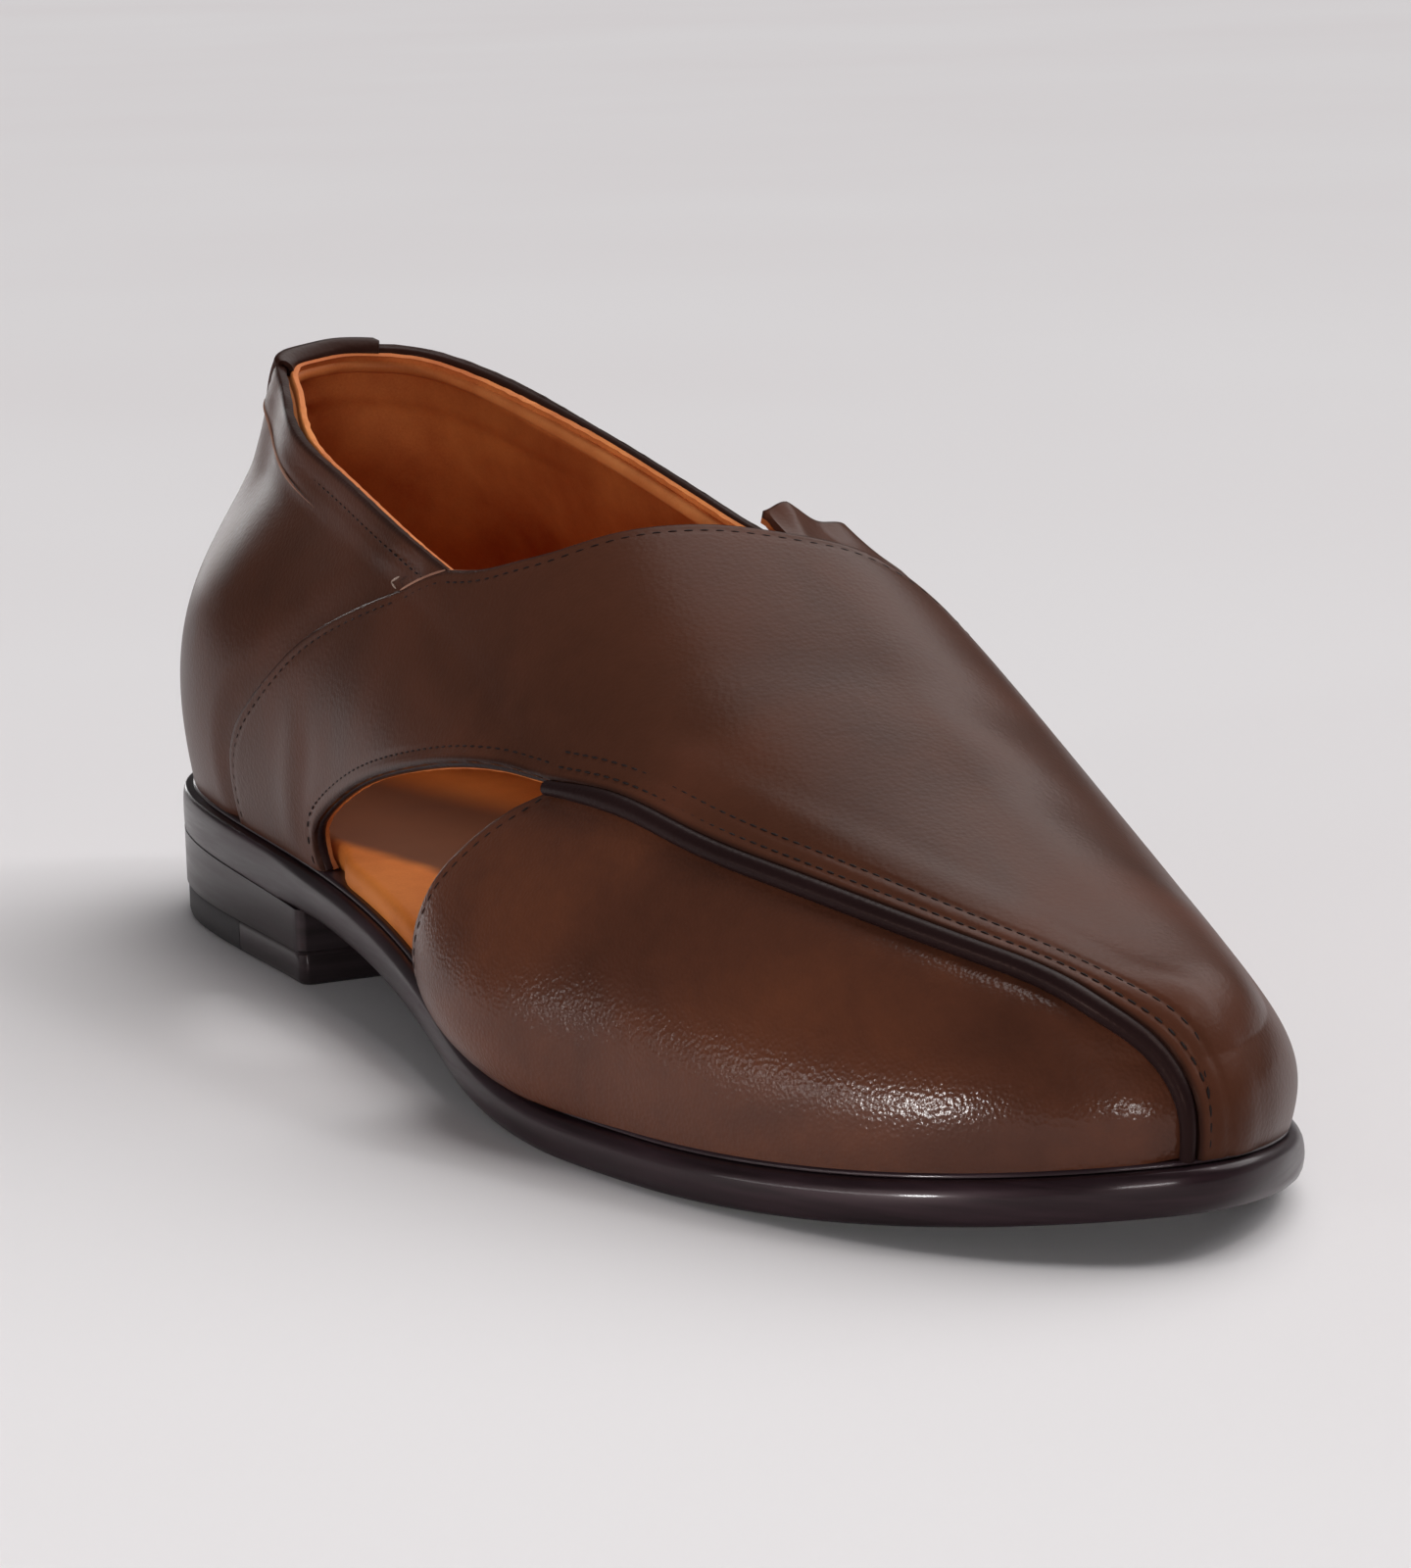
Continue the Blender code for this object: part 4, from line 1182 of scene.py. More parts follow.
class Cuts:
    """The pattern's lines as Line objects."""

    def __init__(self, pattern: Pattern) -> None:
        """Finds each line on the last."""
        lateral, medial = Side.LATERAL, Side.MEDIAL

        def from_foot(foot: float, keys: Sequence[tuple[float, ...]], side: Side) -> Line:
            """A line that starts on the feather line."""
            return Line(joined(foot_place(foot, side), places_of(keys, side)))

        self.seam, self.seam_medial = (from_foot(pattern.seam_foot, pattern.seam, side) for side in Side)
        self.rim = from_foot(pattern.rim_foot, pattern.rim_lateral, lateral)
        self.rim_medial = from_foot(pattern.rim_foot, pattern.rim_medial, medial)
        self.front = from_foot(pattern.front_foot, pattern.front_lateral, lateral)
        self.front_medial = Line(joined(places_of(pattern.front_medial, medial),
                                        foot_place(pattern.front_medial_foot, medial)))
        low = places_of((pattern.notch_low,), lateral)
        low_medial = places_of(pattern.strap_throat[:1], medial)
        self.notch = Line(joined(places_of(pattern.notch_top, lateral), low))
        self.notch_medial = Line(joined(places_of(pattern.notch_top, medial), low_medial))
        self.collar = Line(joined(-low_medial, -pattern.collar_line(medial)[-2::-1], pattern.collar_back(),
                                  pattern.collar_line(lateral)[:-1], low), steps=500)
        across = places_of(pattern.throat_medial + pattern.front_medial[:1], medial)
        self.throat = Line(joined(low, places_of(pattern.throat_lateral, lateral), across), steps=300)
        self.strap_throat = Line(places_of(pattern.strap_throat + (pattern.strap_peak,), medial))
        piping = places_of(pattern.piping, lateral)
        self.piping = Line(joined(piping, np.array([[piping[-1, 0] + pattern.piping_foot, -1.0]])))


@dataclass(frozen=True)
class Fold:
    """A soft ridge, or with a negative height a trough, that wear pressed into the leather."""

    start: tuple[float, float, float]
    end: tuple[float, float, float]
    height: float
    width: float


@dataclass
class BackStrip:
    """The strip over the back seam, with a tab folded over the collar."""

    collar: Line
    halves: tuple = ((22.0, 10.4), (40.0, 10.0), (80.0, 8.8), (93.0, 8.6))   # height and half width
    leans: tuple = ((22.0, 0.0), (60.0, 0.8), (93.0, 2.3))   # height and how far it leans to the side
    foot: float = -0.965          # girth of its lower end
    rows: int = 46
    columns: int = 25
    out: tuple[float, float] = (0.15, 0.95)   # height of its edge over the last, and what its middle adds
    soft: float = 0.12            # share of the half width over which the edge is rounded
    wrap: float = 2.6             # how far inside the collar the tab lies
    crest: float = 1.2            # how far its fold stands over the topline
    thick: float = 0.8
    dyed: tuple[float, float] = (9.0, 0.25)   # stretch of the edge dye over the half width, and per row

    def swing(self, half: Array) -> tuple[Array, Array]:
        """Points and outward directions of the last under the strip, by column and row."""
        back, foot, rows = self.collar.places, self.foot, self.rows
        top = float(np.interp(0.0, back[:, 0], back[:, 1]))
        girths = np.linspace(foot, top, rows)
        heights = LAST.surface(np.zeros(rows), LAST.across_of(np.zeros(rows), girths))[:, 2]
        width = np.interp(heights, *zip(*self.halves))
        ahead, behind = (LAST.surface(np.full(rows, run), LAST.across_of(np.full(rows, run), girths))
                         for run in (0.01, -0.01))
        per_mm = 0.02 / np.linalg.norm(ahead - behind, axis=1)
        lean = np.interp(heights, *zip(*self.leans))
        run = (half[:, None] * width[None] + lean[None]) * per_mm[None]
        ends = np.interp(run[:, -1], back[:, 0], back[:, 1])
        girth = foot + (ends[:, None] - foot) * ((girths - foot) / (top - foot))[None]
        return LAST.facing(run, LAST.across_of(run, girth))

    def build(self) -> None:
        """Makes the strip, its fold over the topline and its end inside."""
        half = np.linspace(-1, 1, self.columns)
        surface, normal = self.swing(half)
        edge = np.minimum(1 - np.abs(half), self.soft)[:, None] / self.soft
        out = self.out[0] + self.out[1] * np.sqrt(1 - (1 - edge) ** 2)
        crest, lean, deep = surface[:, -1], normal[:, -1], self.wrap
        rim = out[:, :1]
        over = [crest + lean * (rim * 0.5 + deep * 0.5 + (rim + deep) * 0.5 * math.cos(turn) - deep)
                + np.array([0, 0, self.crest * math.sin(turn)]) for turn in np.linspace(0, np.pi, 9)[1:]]
        inner = surface[:, -2:-1] - normal[:, -2:-1] * deep
        whole = np.concatenate([surface + normal * out[..., None], np.stack(over, 1), inner], 1)
        facing = np.cross(np.gradient(whole, axis=0), np.gradient(whole, axis=1))
        facing /= np.maximum(np.linalg.norm(facing, axis=-1, keepdims=True), 1e-9)
        faces = [LAST.place(whole), LAST.place(whole - facing * self.thick)]
        bm = bmesh.new()
        layer = bm.verts.layers.float.new("edge_mm")
        side_mm = (1 - np.abs(half)) * self.dyed[0]
        for place in faces:
            for vert, (i, j) in sheet(bm, place):
                vert[layer] = float(min(side_mm[i], max(self.rows + 1 - j, 0) * self.dyed[1]))
        for cut in (np.s_[0, :], np.s_[-1, :], np.s_[:, 0], np.s_[:, -1]):
            sheet(bm, np.stack([place[cut] for place in faces]))
        close(bm, small=0.0)
        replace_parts(finish_mesh(bm, "back_strip_dressed", CALF), "back_strip")


@dataclass
class Upper:
    """The leather upper: crossed outer panel, vamp, counter, medial strap, back strip and their lining."""

    cuts: Cuts
    leather: float = 1.2                  # thickness of a panel
    lining: float = 0.9                   # and of the lining
    leather_roll: float = 0.8             # radius of a panel's free edge
    lining_roll: float = 0.5
    skive: float = 0.15                   # between panel and lining
    panel_out: float = 0.35               # height of the outer panel over the last
    strap_out: float = -0.2
    tuck: float = 5.0                     # how far a piece runs on under its neighbour
    sink: float = 0.95                    # and how deep it goes there
    stand: float = 0.25                   # how far the panel's folded edge stands up beside the bead
    stand_grows: tuple[float, float] = (3.0, 30.0)    # it grows over this distance from the bead's start
    stand_fades: tuple[float, float] = (5.0, 13.0)    # and fades over this one from the bead
    bead: float = 1.45                    # radius
    bead_off: float = -1.2                # its middle, from the panel's edge
    bead_out: float = -0.05               # and over the last
    roll_in: float = -2.5                 # the tan roll's middle, from the topline
    band: float = 0.9                     # thickness of the collar's own band inside
    band_deep: float = 9.0                # its depth
    band_edge: float = 1.3                # over which it thins out below
    band_fades: tuple[float, float] = (40.0, 95.0)    # and forward
    peak: float = 2.1                     # how far the strap's top corner stands off
    peak_wide: tuple[float, float] = (1.0, 13.0)
    peak_from: tuple[float, float] = (6.5, 10.5)      # y where it starts to
    press: float = 2.8                    # how far the strap is pressed down behind the flap
    press_at: tuple[float, float, float] = (172.0, 16.5, 77.2)
    press_wide: tuple[float, float] = (2.0, 12.0)
    facing: float = 6.8                   # width of the facing round the back of the collar
    facing_end: float = 80.0              # x where it ends
    facing_fade: float = 30.0
    facing_soft: float = 0.4              # half width of its step
    facing_thick: float = 0.5
    fold_from: float = -14.0              # the collar's fold shows on the far side of this y
    folds: tuple[Fold, ...] = (
        Fold((84.0, -37.0, 24.0), (90.0, -38.0, 40.0), 0.32, 4.0),
        Fold((91.0, -37.0, 25.0), (98.0, -38.0, 38.0), -0.26, 3.6),
        Fold((196.0, -20.0, 62.0), (214.0, 16.0, 56.0), -0.30, 7.0),
        Fold((210.0, -26.0, 46.0), (226.0, 12.0, 51.0), 0.25, 7.0),
        Fold((232.0, -30.0, 32.0), (238.0, 14.0, 47.0), -0.22, 7.0),
        Fold((186.0, -48.0, 24.0), (196.0, -40.0, 40.0), -0.30, 5.0),
    )
    tack: tuple[tuple[float, float, float], ...] = ((120.2, -29.0, 67.5), (117.5, -29.0, 66.3),
                                                    (120.0, -29.0, 65.2))

    def toward(self, line: Line, run_mm: float = 0.0, girth_mm: float = 0.0) -> Array:
        """A line's places moved along the foot and round it.

        Args:
            line: the line.
            run_mm: millimetres forward.
            girth_mm: millimetres towards the medial side.

        Returns:
            The moved places.
        """
        places = line.places.copy()
        across = LAST.across_of(places[:, 0], places[:, 1])
        run_by, girth_by, least = 1e-3, 0.02, 20
        ahead = LAST.surface(places[:, 0] + run_by, across) - LAST.surface(places[:, 0] - run_by, across)
        higher, lower = (LAST.points_of(np.stack([places[:, 0], np.clip(places[:, 1] + by, -1, 1)], -1))
                         for by in (girth_by, -girth_by))
        per_run = np.linalg.norm(ahead, axis=1) / (2 * run_by)
        per_girth = np.linalg.norm(higher - lower, axis=1) / (2 * girth_by)
        places[:, 0] += run_mm / np.maximum(per_run, least)
        places[:, 1] = np.clip(places[:, 1] + girth_mm / np.maximum(per_girth, least), -1, 1)
        return places

    def outer_grid(self) -> Array:
        """Places of the outer panel: lateral strap, instep, toe cap and medial side in one sheet."""
        c = self.cuts
        foot = Line.foot(LAST.rim.x_at(c.seam.places[0, 0]), LAST.rim.x_at(c.rim.places[0, 0]), Side.LATERAL)
        toe_bit = Line(np.array([c.piping.places[-1], [1.0, -1.0]]), smooth=False)
        bottom = stations((foot, c.rim, c.piping, toe_bit), (18, 56, 76, 3))
        medial_foot = Line.foot(LAST.rim.x_at(c.front_medial.places[-1, 0]), LAST.rim.end, Side.MEDIAL)
        top = medial_foot.at(153)
        left = stations((c.seam, c.notch, c.throat, c.front_medial), (42, 8, 60, 26))
        toe_line = Line(np.array([[1.0, -1.0], [1.0, 0.0]]), smooth=False)
        toe_back = Line(np.array([[1.0, 0.0], [1.0, 1.0]]), smooth=False)
        right = stations((toe_line, toe_back), (68, 68))
        return refine(relax(coons(bottom, top, left, right)), "left", "bottom")

    def vamp_grid(self) -> Array:
        """Places of the vamp, which runs on under the outer panel."""
        c = self.cuts
        foot = Line.foot(LAST.rim.x_at(c.front.places[0, 0]), LAST.rim.end, Side.LATERAL)
        bottom = foot.at(114)
        under = self.toward(c.piping, girth_mm=self.tuck)
        keep = under[:, 0] < 0.93
        upper = Line(joined(under[keep], np.array([[0.975, -0.50], [1.0, -0.60]])), smooth=False)
        top = upper.at(114)
        lead = Line(joined(c.front.places[-1:], under[:1]), smooth=False)
        left = stations((c.front, lead), (44, 5))
        toe = Line(np.array([[1.0, -1.0], [1.0, -0.60]]), smooth=False)
        return refine(coons(bottom, top, left, toe.at(49)), "left")

    def counter_grid(self, tuck: float) -> Array:
        """Places of the counter, round the heel from the medial seam to the lateral one."""
        c = self.cuts
        right, left = (
            sign * self.toward(Line(joined(seam.places, notch.places[1:]), False, steps=240), run_mm=tuck)
            for seam, notch, sign in ((c.seam, c.notch, 1), (c.seam_medial, c.notch_medial, -1)))
        right[0, 1] = left[0, 1] = -1.0
        ends = (left[-1:], right[-1:]) if tuck else (left[:0], right[:0])
        top = Line(joined(ends[0], c.collar.places, ends[1]), smooth=False, steps=600)
        foot = Line(joined(left[:1], right[:1]), smooth=False, steps=300)
        sides = [Line(side, smooth=False, steps=240).at(56) for side in (left, right)]
        return refine(coons(foot.at(120), top.at(120), *sides), "top")

    def strap_grid(self, tuck: float) -> Array:
        """Places of the medial strap, from its seam to under the outer panel."""
        c = self.cuts
        foot = Line.foot(LAST.rim.x_at(c.seam_medial.places[0, 0]), LAST.rim.x_at(c.rim_medial.places[0, 0]),
                         Side.MEDIAL)
        ahead = self.toward(Line(c.throat.places[c.throat.places[:, 1] > 0.02], smooth=False), run_mm=tuck)
        tip_lead = Line(joined(c.rim_medial.places[-1:], ahead[-1:]), smooth=False)
        bottom = stations((foot, c.rim_medial, tip_lead), (16, 58, 4))
        peak_lead = Line(joined(c.strap_throat.places[-1:], ahead[:1]), smooth=False)
        top = stations((c.strap_throat, peak_lead), (72, 6))
        left = stations((c.seam_medial, c.notch_medial), (40, 8))
        right = Line(ahead[::-1], smooth=False).at(48)
        return refine(relax(coons(bottom, top, left, right)), "left", "bottom", "top")

    def build(self) -> None:
        """Makes every piece of the upper."""
        c = self.cuts
        piping, seam, seam_medial = c.piping.points(), c.seam.points(), c.seam_medial.points()
        notch, throat, rim, collar = c.notch.points(), c.throat.points(), c.rim.points(), c.collar.points()
        front, front_medial, rim_medial = c.front.points(), c.front_medial.points(), c.rim_medial.points()
        strap_throat, notch_medial = c.strap_throat.points(), c.notch_medial.points()

        def creased(points: Array) -> Array:
            """Soft folds, each along its own line."""
            total = np.zeros(points.shape[:-1])
            for fold in self.folds:
                away = nearest(points, np.linspace(fold.start, fold.end, 12))
                total += fold.height * np.exp(-((away / fold.width) ** 2))
            return total

        def by_piping(points: Array) -> Array:
            """The panel's folded edge stands up beside the bead, and its folds."""
            grown = self.stand * smooth_step(nearest(points, piping[:1]), *self.stand_grows)
            return grown * (1 - smooth_step(nearest(points, piping), *self.stand_fades)) + creased(points)

        def under_piping(points: Array) -> Array:
            """The vamp goes down under the panel, and has its folds."""
            return creased(points) - self.sink * (1 - smooth_step(nearest(points, piping), 0.5, 8.0))

        def under_seam(points: Array) -> Array:
            """The counter goes down under the straps, and a facing round the back of the collar stands up."""
            gap = np.minimum(nearest(points, seam), nearest(points, seam_medial))
            soft = self.facing_soft
            faced = 1 - smooth_step(nearest(points, collar), self.facing - soft, self.facing + soft)
            faced *= 1 - smooth_step(points[..., 0], self.facing_end - self.facing_fade, self.facing_end)
            return self.facing_thick * faced - self.sink * (1 - smooth_step(gap, 0.5, 9.0))

        def by_peak(points: Array) -> Array:
            """The strap's top corner stands away from the foot."""
            lift = self.peak * (1 - smooth_step(nearest(points, strap_throat[-1:]), *self.peak_wide))
            pressed = nearest(points, np.array([self.press_at]))
            under = self.press * (1 - smooth_step(pressed, *self.press_wide))
            return lift * smooth_step(points[..., 1], *self.peak_from) - under

        def padded(points: Array) -> Array:
            """The collar's own band, sewn on inside the lining and thinning towards the front."""
            fade = 1 - smooth_step(points[..., 0], *self.band_fades)
            deep = smooth_step(nearest(points, collar), self.band_deep, self.band_deep + self.band_edge)
            return -self.band * fade * (1 - deep)

        outer_grid, vamp_grid = self.outer_grid(), self.vamp_grid()
        inside = -self.leather - self.skive
        by_seam = [Trace(piping, -0.26, 0.42, 1.9, 16.0), Trace(piping, -0.22, 0.42, 4.2, 30.0),
                   Trace(piping, 0.18, 2.6, 8.0, 40.0)]
        open_right, closed = ("left", "bottom", "top"), ("left", "right", "bottom", "top")
        # name, grid, height, free edges, lift, sewn troughs, borders with a wall, finish
        rows = (
            ("outer_panel", outer_grid, self.panel_out, [seam, notch, throat, front_medial, rim, piping],
             by_piping, [*by_seam, Trace(seam, -0.14, 0.5, 1.9), Trace(rim, -0.16, 0.5, 2.3),
                         Trace(throat, -0.10, 0.45, 2.0)], open_right, CALF),
            ("vamp", vamp_grid, 0.0, [front], under_piping, [Trace(front, -0.10, 0.45, 2.0)], closed,
             VAMP_CALF),
            ("counter", self.counter_grid(self.tuck), 0.0, [collar], under_seam,
             [Trace(collar, -0.12, 0.5, 3.4)], closed, CALF),
            ("medial_strap", self.strap_grid(self.tuck), self.strap_out,
             [seam_medial, notch_medial, strap_throat, rim_medial], by_peak,
             [Trace(seam_medial, -0.14, 0.5, 1.9)], closed, CALF),
            ("lining_counter", self.counter_grid(0.0), inside, [collar], padded, [], closed, TAN),
            ("lining_outer", outer_grid, inside - 0.05, [throat, rim, front_medial], None, [], open_right,
             TAN),
            ("lining_vamp", vamp_grid, inside - 0.9, [front], None, [], closed, TAN),
            ("lining_strap", self.strap_grid(1.0), inside - 0.15, [strap_throat, rim_medial], by_peak, [],
             closed, TAN),
        )
        for name, grid, out, free, lift, traces, rims, finish in rows:
            lined = finish is TAN
            panel = Panel(name, grid, out, self.lining if lined else self.leather, free,
                          self.lining_roll if lined else self.leather_roll, traces, lift, rims)
            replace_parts(panel.build(finish, "insole_leather" if lined else "upper_leather"), "upper")
        self.edges()
        BackStrip(c.collar).build()
        self.sewing()

    def edges(self) -> None:
        """The bead under the outer panel's edge, and the rolled rims of the collar and the openings."""
        c = self.cuts
        # name, line, shift, height, radius, finish, slot, share of the radius at both ends, points to keep
        rows = (
            ("bead", c.piping, self.bead_off, self.bead_out, self.bead, BEAD_CALF, "upper_leather",
             (0.75, 0.7), None),
            ("facing_edge", c.collar, -self.facing, 0.42, 0.26, RAW_EDGE, "upper_leather", (0.1, 0.1),
             lambda points: points[:, 0] < self.facing_end - 3),
            ("collar_fold", c.collar, -0.6, -1.15, 0.85, CALF, "upper_leather", (0.8, 0.3),
             lambda points: points[:, 1] > self.fold_from),
            ("notch_edge", c.notch, -0.15, 0.25, 0.2, RAW_EDGE, "upper_leather", (0.5, 0.5), None),
            ("collar_roll", c.collar, self.roll_in, -2.75, 1.2, TAN_ROLL, "insole_leather", (1.0, 1.0), None),
            ("throat_cut_edge", c.throat, -0.12, -0.5, 0.3, RAW_EDGE, "insole_leather", (1.0, 1.0), None),
            ("opening_rim", c.rim, 0.45, -1.2, 0.75, BEAD_CALF, "upper_leather", (1.0, 1.0), None),
        )
        for name, line, shift, out, radius, finish, slot, taper, keep in rows:
            points, normals = on_last(line, shift, out)
            if keep:
                kept = keep(points)
                points, normals = points[kept], normals[kept]
            share = np.linspace(0, 1, len(points))
            width = radius * (taper[0] + (1 - taper[0]) * smooth_step(share, 0, 0.12))
            width *= taper[1] + (1 - taper[1]) * (1 - smooth_step(share, 0.86, 1.0))
            tube(name, softened(points, 3), normals, width, finish)

    def sewing(self) -> None:
        """Every row of stitches."""
        c = self.cuts
        # line, shift, height, pitch
        rows = (
            (c.piping, 1.9, 0.40, 2.0), (c.piping, 4.2, 0.44, 2.0), (c.seam, -1.9, 0.22, 2.4),
            (c.seam_medial, 1.9, -0.3, 2.4), (c.notch, -1.9, 0.26, 2.2), (c.throat, -2.0, 0.26, 2.2),
            (c.rim, 2.3, 0.22, 2.2), (c.collar, -3.4, -0.1, 2.4), (c.front, -2.0, -0.08, 2.4),
        )
        points, ways, outs = [], [], []
        for line, shift, out, pitch in rows:
            place, normal = on_last(line, shift, out, pitch)
            ahead, up, _ = frames_along(place, normal)
            points.append(place[1:-1])
            ways.append(ahead[1:-1])
            outs.append(up[1:-1])
        stitches("stitching", np.concatenate(points), np.concatenate(ways), np.concatenate(outs), THREAD)
        run, level = LAST.find(np.array(self.tack), Side.LATERAL)
        corners, normals = LAST.facing(run, level)
        bars = np.diff(corners, axis=0)
        size = float(np.linalg.norm(bars, axis=1).mean())
        stitches("bar_tack", (corners[:-1] + corners[1:]) / 2 + normals[:-1] * 0.5, bars / size, normals[:-1],
                 TACK_THREAD, length=size, thick=0.2)


# ---------------------------------------------------------------- sole and heel
@dataclass
class Layer:
    """One layer of the sole or heel: a rounded edge round a plate that follows the foot.

    The profile runs from the underside's middle round the edge to the top's middle, in pairs: how far in
    from the outline, and the share of the layer's height. A breast cuts the outline off square.
    """

    name: str
    under: Callable[[Array], Array]
    over: Callable[[Array], Array]
    profile: Sequence[tuple[Inset, float]]
    inset: Inset = 0.0
    stations: int = 150
    across: int = 14
    dish: float = 0.0
    breast: float | None = None
    corner: float = 1.6
    planes: tuple[tuple[tuple[float, float], tuple[float, float]], ...] = ()

    def inset_by(self, extra: Inset) -> Inset:
        """The outline's inset plus some more."""
        def total(x: Array, y: Array) -> Array:
            """Both insets at points of the edge."""
            parts = [part(x, y) if callable(part) else part for part in (self.inset, extra)]
            return parts[0] + parts[1] + np.zeros_like(x)

        return total

    def half(self, rim: Rim, extra: Inset, side: Side) -> Array:
        """One half of a ring, x and y, from the back to the toe or to the middle of the breast."""
        run = np.linspace(0, 1, self.stations + 1)
        if self.breast is None:
            x = rim.x_at(run)
            return np.stack([x, rim.y_at(side, x)], -1)
        end = self.breast - min(extra if isinstance(extra, float) else 0.0, 6.0)
        x = rim.x_at(run * float(rim.run_at(end - self.corner)))
        wall = np.stack([x, rim.y_at(side, x)], -1)
        turn = np.linspace(0, np.pi / 2, 7)[1:]
        bend = np.stack([end - self.corner * (1 - np.sin(turn)),
                         wall[-1, 1] - side.value * self.corner * (1 - np.cos(turn))], -1)
        level = np.linspace(bend[-1, 1], 0, 10)[1:]
        return np.concatenate([wall, bend, np.stack([np.full(9, end), level], -1)])

    def build(self, finish: Finish, slot: str) -> bpy.types.Object:
        """Makes the layer from rings round its edge and a plate across each end of the profile."""
        rims = [(Rim(self.inset_by(extra)), extra, level) for extra, level in self.profile]
        bm = bmesh.new()
        rings = {}
        for side in Side:
            ring = []
            for rim, extra, level in rims:
                flat = self.half(rim, extra, side)
                z = self.under(flat[:, 0]) + (self.over(flat[:, 0]) - self.under(flat[:, 0])) * level
                ring.append(np.concatenate([flat, z[:, None]], -1))
            rings[side] = np.stack(ring, 1)
            sheet(bm, LAST.place(rings[side]))
        for end in (0, -1):
            lateral, medial = rings[Side.LATERAL][:, end], rings[Side.MEDIAL][:, end]
            t = np.linspace(0, 1, self.across + 1)[None, :, None]
            cap = lateral[:, None] * (1 - t) + medial[:, None] * t
            if end:
                cap[..., 2] -= self.dish * (4 * t * (1 - t))[..., 0] ** 0.7
            sheet(bm, LAST.place(cap))
        close(bm)
        for (x, y), (away_x, away_y) in self.planes:
            where = LAST.place(np.array([x, y, 0.0]))
            parts = [*bm.verts, *bm.edges, *bm.faces]
            bmesh.ops.bisect_plane(bm, geom=parts, dist=1e-7, plane_co=where, plane_no=(away_x, away_y, 0),
                                   clear_outer=True)
            bmesh.ops.holes_fill(bm, edges=[edge for edge in bm.edges if edge.is_boundary])
        bmesh.ops.recalc_face_normals(bm, faces=bm.faces)
        return finish_mesh(bm, self.name, finish)


@dataclass
class Sole:
    """Outsole, midsole and sock."""

    edge_up: float = 1.9       # how far the outsole's edge stands up beside the upper's foot
    mid_up: float = 0.45
    mid_in: float = 2.0
    sock_low: float = 0.5
    sock_thick: float = 4.2
    sock_dish: float = 0.5
    sock_in: float = 5.1
    sock_in_open: float = 2.6
    seat_in: float = 0.2
    seat_ends: tuple[float, float] = (60.0, 105.0)
    channel_wide: float = 0.9
    edge_round: tuple = ((1.9, 0.0), (1.2, 0.02), (0.65, 0.09), (0.25, 0.22), (0.05, 0.38), (0.0, 0.5),
                         (0.05, 0.64), (0.22, 0.79), (0.55, 0.91), (1.1, 0.98), (1.8, 1.0), (12.0, 1.0))
    mid_round: tuple = ((10.0, 0.0), (0.5, 0.0), (0.0, 0.2), (0.0, 0.6), (0.2, 0.9), (0.6, 1.0), (10.0, 1.0))
    sock_round: tuple = ((10.0, 0.0), (0.3, 0.0), (0.0, 0.25), (0.0, 0.6), (0.3, 0.86), (0.9, 0.98),
                         (1.6, 1.0), (10.0, 1.0))

    def channel(self, beside: float) -> Inset:
        """The line of the stitch channel in the underside, moved in by some millimetres."""
        def at(x: Array, y: Array) -> Array:
            """How far in from the edge it runs."""
            lateral = np.interp(x, (0, 90, 140, 190, 260, 300), (9.0, 11.0, 13.0, 10.0, 7.0, 4.5))
            medial = np.interp(x, (0, 90, 150, 260, 300), (8.0, 8.5, 8.0, 7.0, 4.5))
            return np.where(y < 0, lateral, medial) + beside

        return at

    def rounded(self, extra: float, level: float) -> Inset:
        """The edge's round, left square below where the heel is built on."""
        def at(x: Array, y: Array) -> Array:
            """The round at points of the edge."""
            seat = 0.12 if level < 0.5 else 0.4
            return extra * (seat + (1 - seat) * smooth_step(x, 76, 98)) if extra < 10 else extra + 0 * x

        return at

    def sock_inset(self, x: Array, y: Array) -> Array:
        """The sock lies inside the wall, and reaches nearer the edge at the openings."""
        step = smooth_step(x, 97, 107) * (1 - smooth_step(x, 155, 165))
        return self.sock_in - (self.sock_in - self.sock_in_open) * step

    def build(self) -> None:
        """Makes the sole's layers."""
        wide = self.channel_wide
        groove = [(self.channel(12.0), 0.0), (self.channel(wide), 0.0), (self.channel(wide * 0.5), 0.10),
                  (self.channel(0.0), 0.15), (self.channel(-wide * 0.5), 0.10), (self.channel(-wide), 0.0)]
        edge = [(self.rounded(extra, level), level) for extra, level in self.edge_round]
        outsole = Layer("outsole_dressed", SOLE.under, lambda x: SOLE.outsole_top(x) + self.edge_up,
                        groove + edge,
                        inset=lambda x, y: self.seat_in * (1 - smooth_step(x, *self.seat_ends)))
        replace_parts(outsole.build(BURNISHED, "sole_edge_leather"), "outsole")
        mid = Layer("midsole_dressed", lambda x: SOLE.outsole_top(x) + self.edge_up,
                    lambda x: SOLE.midsole_top(x) + self.mid_up, self.mid_round, inset=self.mid_in)
        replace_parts(mid.build(BURNISHED, "sole_edge_leather"), "midsole")
        sock = Layer("sock", lambda x: SOLE.midsole_top(x) + self.sock_low,
                     lambda x: SOLE.midsole_top(x) + SOLE.gap + self.sock_thick,
                     self.sock_round, inset=self.sock_inset, dish=self.sock_dish)
        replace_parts(sock.build(TAN_SOCK, "insole_leather"), "insole")


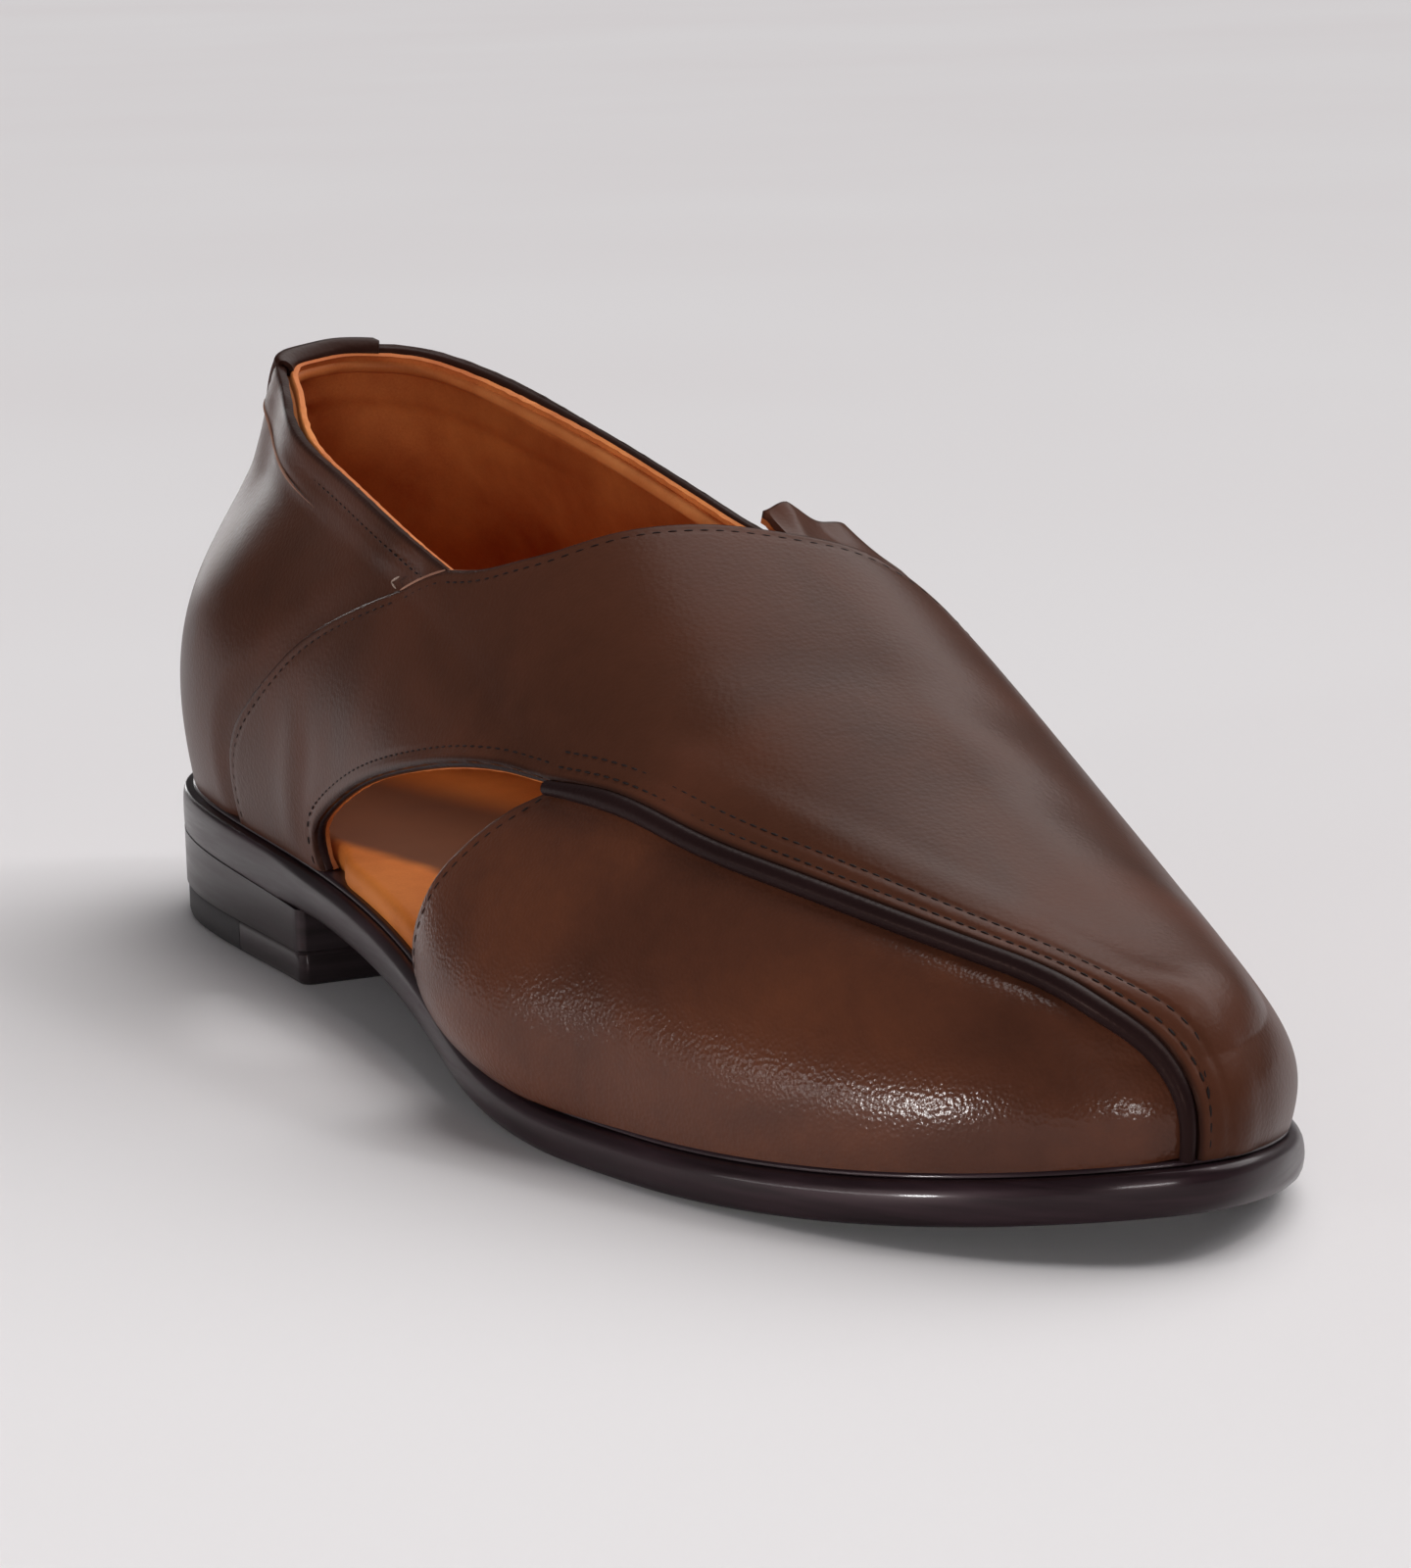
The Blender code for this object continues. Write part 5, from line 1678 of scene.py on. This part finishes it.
@dataclass
class Heel:
    """The stacked heel block and the two-part lift below it."""

    length: float = 88.0
    lift: float = 5.2
    taper: float = 0.7
    joint: tuple = ((58.0, -34.0), (40.0, 32.0))
    open: float = 0.12
    block_round: tuple = ((12.0, 0.0), (0.35, 0.0), (0.0, 0.06), (0.0, 0.9), (0.0, 1.0), (12.0, 1.0))
    lift_round: tuple = ((12.0, 0.0), (0.7, 0.0), (0.2, 0.07), (0.0, 0.2), (0.0, 0.93), (0.25, 1.0),
                         (12.0, 1.0))

    def build(self) -> None:
        """Makes the block and both parts of the lift."""
        side = {"inset": Sole.seat_in + 0.05, "breast": self.length, "stations": 110}
        block = Layer("heel_block_dressed", lambda x: self.lift + 0 * x, SOLE.under, self.block_round, **side)
        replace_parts(block.build(HEEL_STACK, "heel_leather"), "heel_block")
        (xa, ya), (xb, yb) = self.joint
        across = np.array([xb - xa, yb - ya]) / math.hypot(xb - xa, yb - ya)
        ahead = np.array([across[1], -across[0]])
        side["inset"] = Sole.seat_in + self.taper * 0.5
        for name, way, finish, slot, node in (
            ("lift_rear", 1, RUBBER, "heel_rubber", "heel_top_piece"),
            ("lift_front", -1, HEEL_STACK, "heel_leather", "heel_top_front"),
        ):
            start = np.array([xa, ya]) - ahead * self.open * way
            lift = Layer(name, lambda x: 0 * x, lambda x: self.lift + 0 * x, self.lift_round,
                         planes=((tuple(start), tuple(ahead * way)),), **side)
            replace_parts(lift.build(finish, slot), node)


# ---------------------------------------------------------------- studio
@dataclass(frozen=True)
class Light:
    """A softbox."""

    name: str
    place: tuple[float, float, float]
    size: tuple[float, float]
    power: float
    aim: tuple[float, float, float] = (0.0, 0.0, 0.03)
    beam: float = 180.0

    def build(self) -> None:
        """Hangs the softbox and turns it to its aim."""
        data = bpy.data.lights.new(self.name, "AREA")
        data.shape, data.size, data.size_y = "RECTANGLE", *self.size
        data.energy = self.power
        data.spread = math.radians(self.beam)
        obj = bpy.data.objects.new(self.name, data)
        obj.location = self.place
        obj.rotation_euler = (Vector(self.aim) - Vector(self.place)).to_track_quat("-Z", "Y").to_euler()
        bpy.context.scene.collection.objects.link(obj)


@dataclass(frozen=True)
class Ceiling:
    """Light bounced off a broad ceiling: it comes evenly from round one direction."""

    name: str
    toward: tuple[float, float, float]
    spread: float
    power: float

    def build(self) -> None:
        """Sets the direction."""
        data = bpy.data.lights.new(self.name, "SUN")
        data.energy, data.angle = self.power, math.radians(self.spread)
        obj = bpy.data.objects.new(self.name, data)
        obj.rotation_euler = Vector(self.toward).to_track_quat("Z", "Y").to_euler()
        bpy.context.scene.collection.objects.link(obj)


@dataclass(frozen=True)
class Studio:
    """Floor, light and camera."""

    azimuth: float = 64.6825
    elevation: float = 10.4033
    roll: float = -1.6556
    distance: float = 0.8067
    aim: tuple[float, float, float] = (0.00012, 0.00691, 0.03734)
    lens: float = 139.54
    floor_size: float = 14.0
    air: float = 0.08
    lights: tuple[Light | Ceiling, ...] = (
        Ceiling("ceiling", (-0.12, 0.54, 0.83), 74.0, 2.8),
        Light("top_window", (0.62, 0.80, 1.35), (0.24, 0.24), 2.6, aim=(0.14, 0.0, 0.03)),
        Light("front_fill", (1.15, -0.85, 0.95), (0.9, 0.9), 0.4, aim=(0.05, -0.02, 0.03)),
        Light("side_band", (-0.20, -1.25, 0.09), (0.65, 0.04), 0.13, aim=(0.10, -0.03, 0.03), beam=60.0),
        Light("side_window", (0.13, -1.22, 0.10), (0.12, 0.035), 0.40, aim=(0.12, -0.03, 0.03), beam=60.0),
        Light("toe_window", (0.84, -0.44, 0.17), (0.40, 0.04), 0.22, aim=(0.145, 0.0, 0.03), beam=60.0),
        Light("heel_glow", (-1.5, 0.10, 0.20), (0.13, 0.38), 0.028, aim=(-0.11, -0.02, 0.07), beam=30.0),
    )

    def build(self) -> None:
        """Lays the floor, hangs the lights and sets the camera."""
        bm = bmesh.new()
        bmesh.ops.create_grid(bm, x_segments=2, y_segments=2, size=self.floor_size / 2)
        mesh = bpy.data.meshes.new("floor")
        bm.to_mesh(mesh)
        bm.free()
        mesh.materials.append(BOARD.material())
        floor = bpy.data.objects.new("floor", mesh)
        bpy.context.scene.collection.objects.link(floor)
        world = bpy.data.worlds.new("studio_air")
        world.use_nodes = True
        sky = world.node_tree.nodes["Background"]
        sky.inputs["Color"].default_value = linear("FBF7F8")
        sky.inputs["Strength"].default_value = self.air
        bpy.context.scene.world = world
        for light in self.lights:
            light.build()
        az, el, roll = (math.radians(a) for a in (self.azimuth, self.elevation, self.roll))
        look = Vector((-math.sin(az) * math.cos(el), math.cos(az) * math.cos(el), -math.sin(el)))
        right = look.cross(Vector((0, 0, 1))).normalized()
        up = right.cross(look)
        right, up = right * math.cos(roll) + up * math.sin(roll), up * math.cos(roll) - right * math.sin(roll)
        data = bpy.data.cameras.new("camera")
        data.lens, data.sensor_width, data.sensor_fit = self.lens, 36.0, "HORIZONTAL"
        data.clip_end = 50.0
        camera = bpy.data.objects.new("camera", data)
        turn = Matrix((right, up, -look)).transposed().to_4x4()
        camera.matrix_world = Matrix.Translation(Vector(self.aim) - look * self.distance) @ turn
        bpy.context.scene.collection.objects.link(camera)
        bpy.context.scene.camera = camera
        bpy.context.scene.view_settings.view_transform = "Standard"


def main() -> None:
    """Builds the shoe's looks round the frame."""
    logging.basicConfig(level=logging.INFO, format="%(name)s: %(message)s")
    Studio().build()
    cuts = Cuts(Pattern())
    Upper(cuts).build()
    Sole().build()
    Heel().build()


if __name__ == "__main__":
    main()
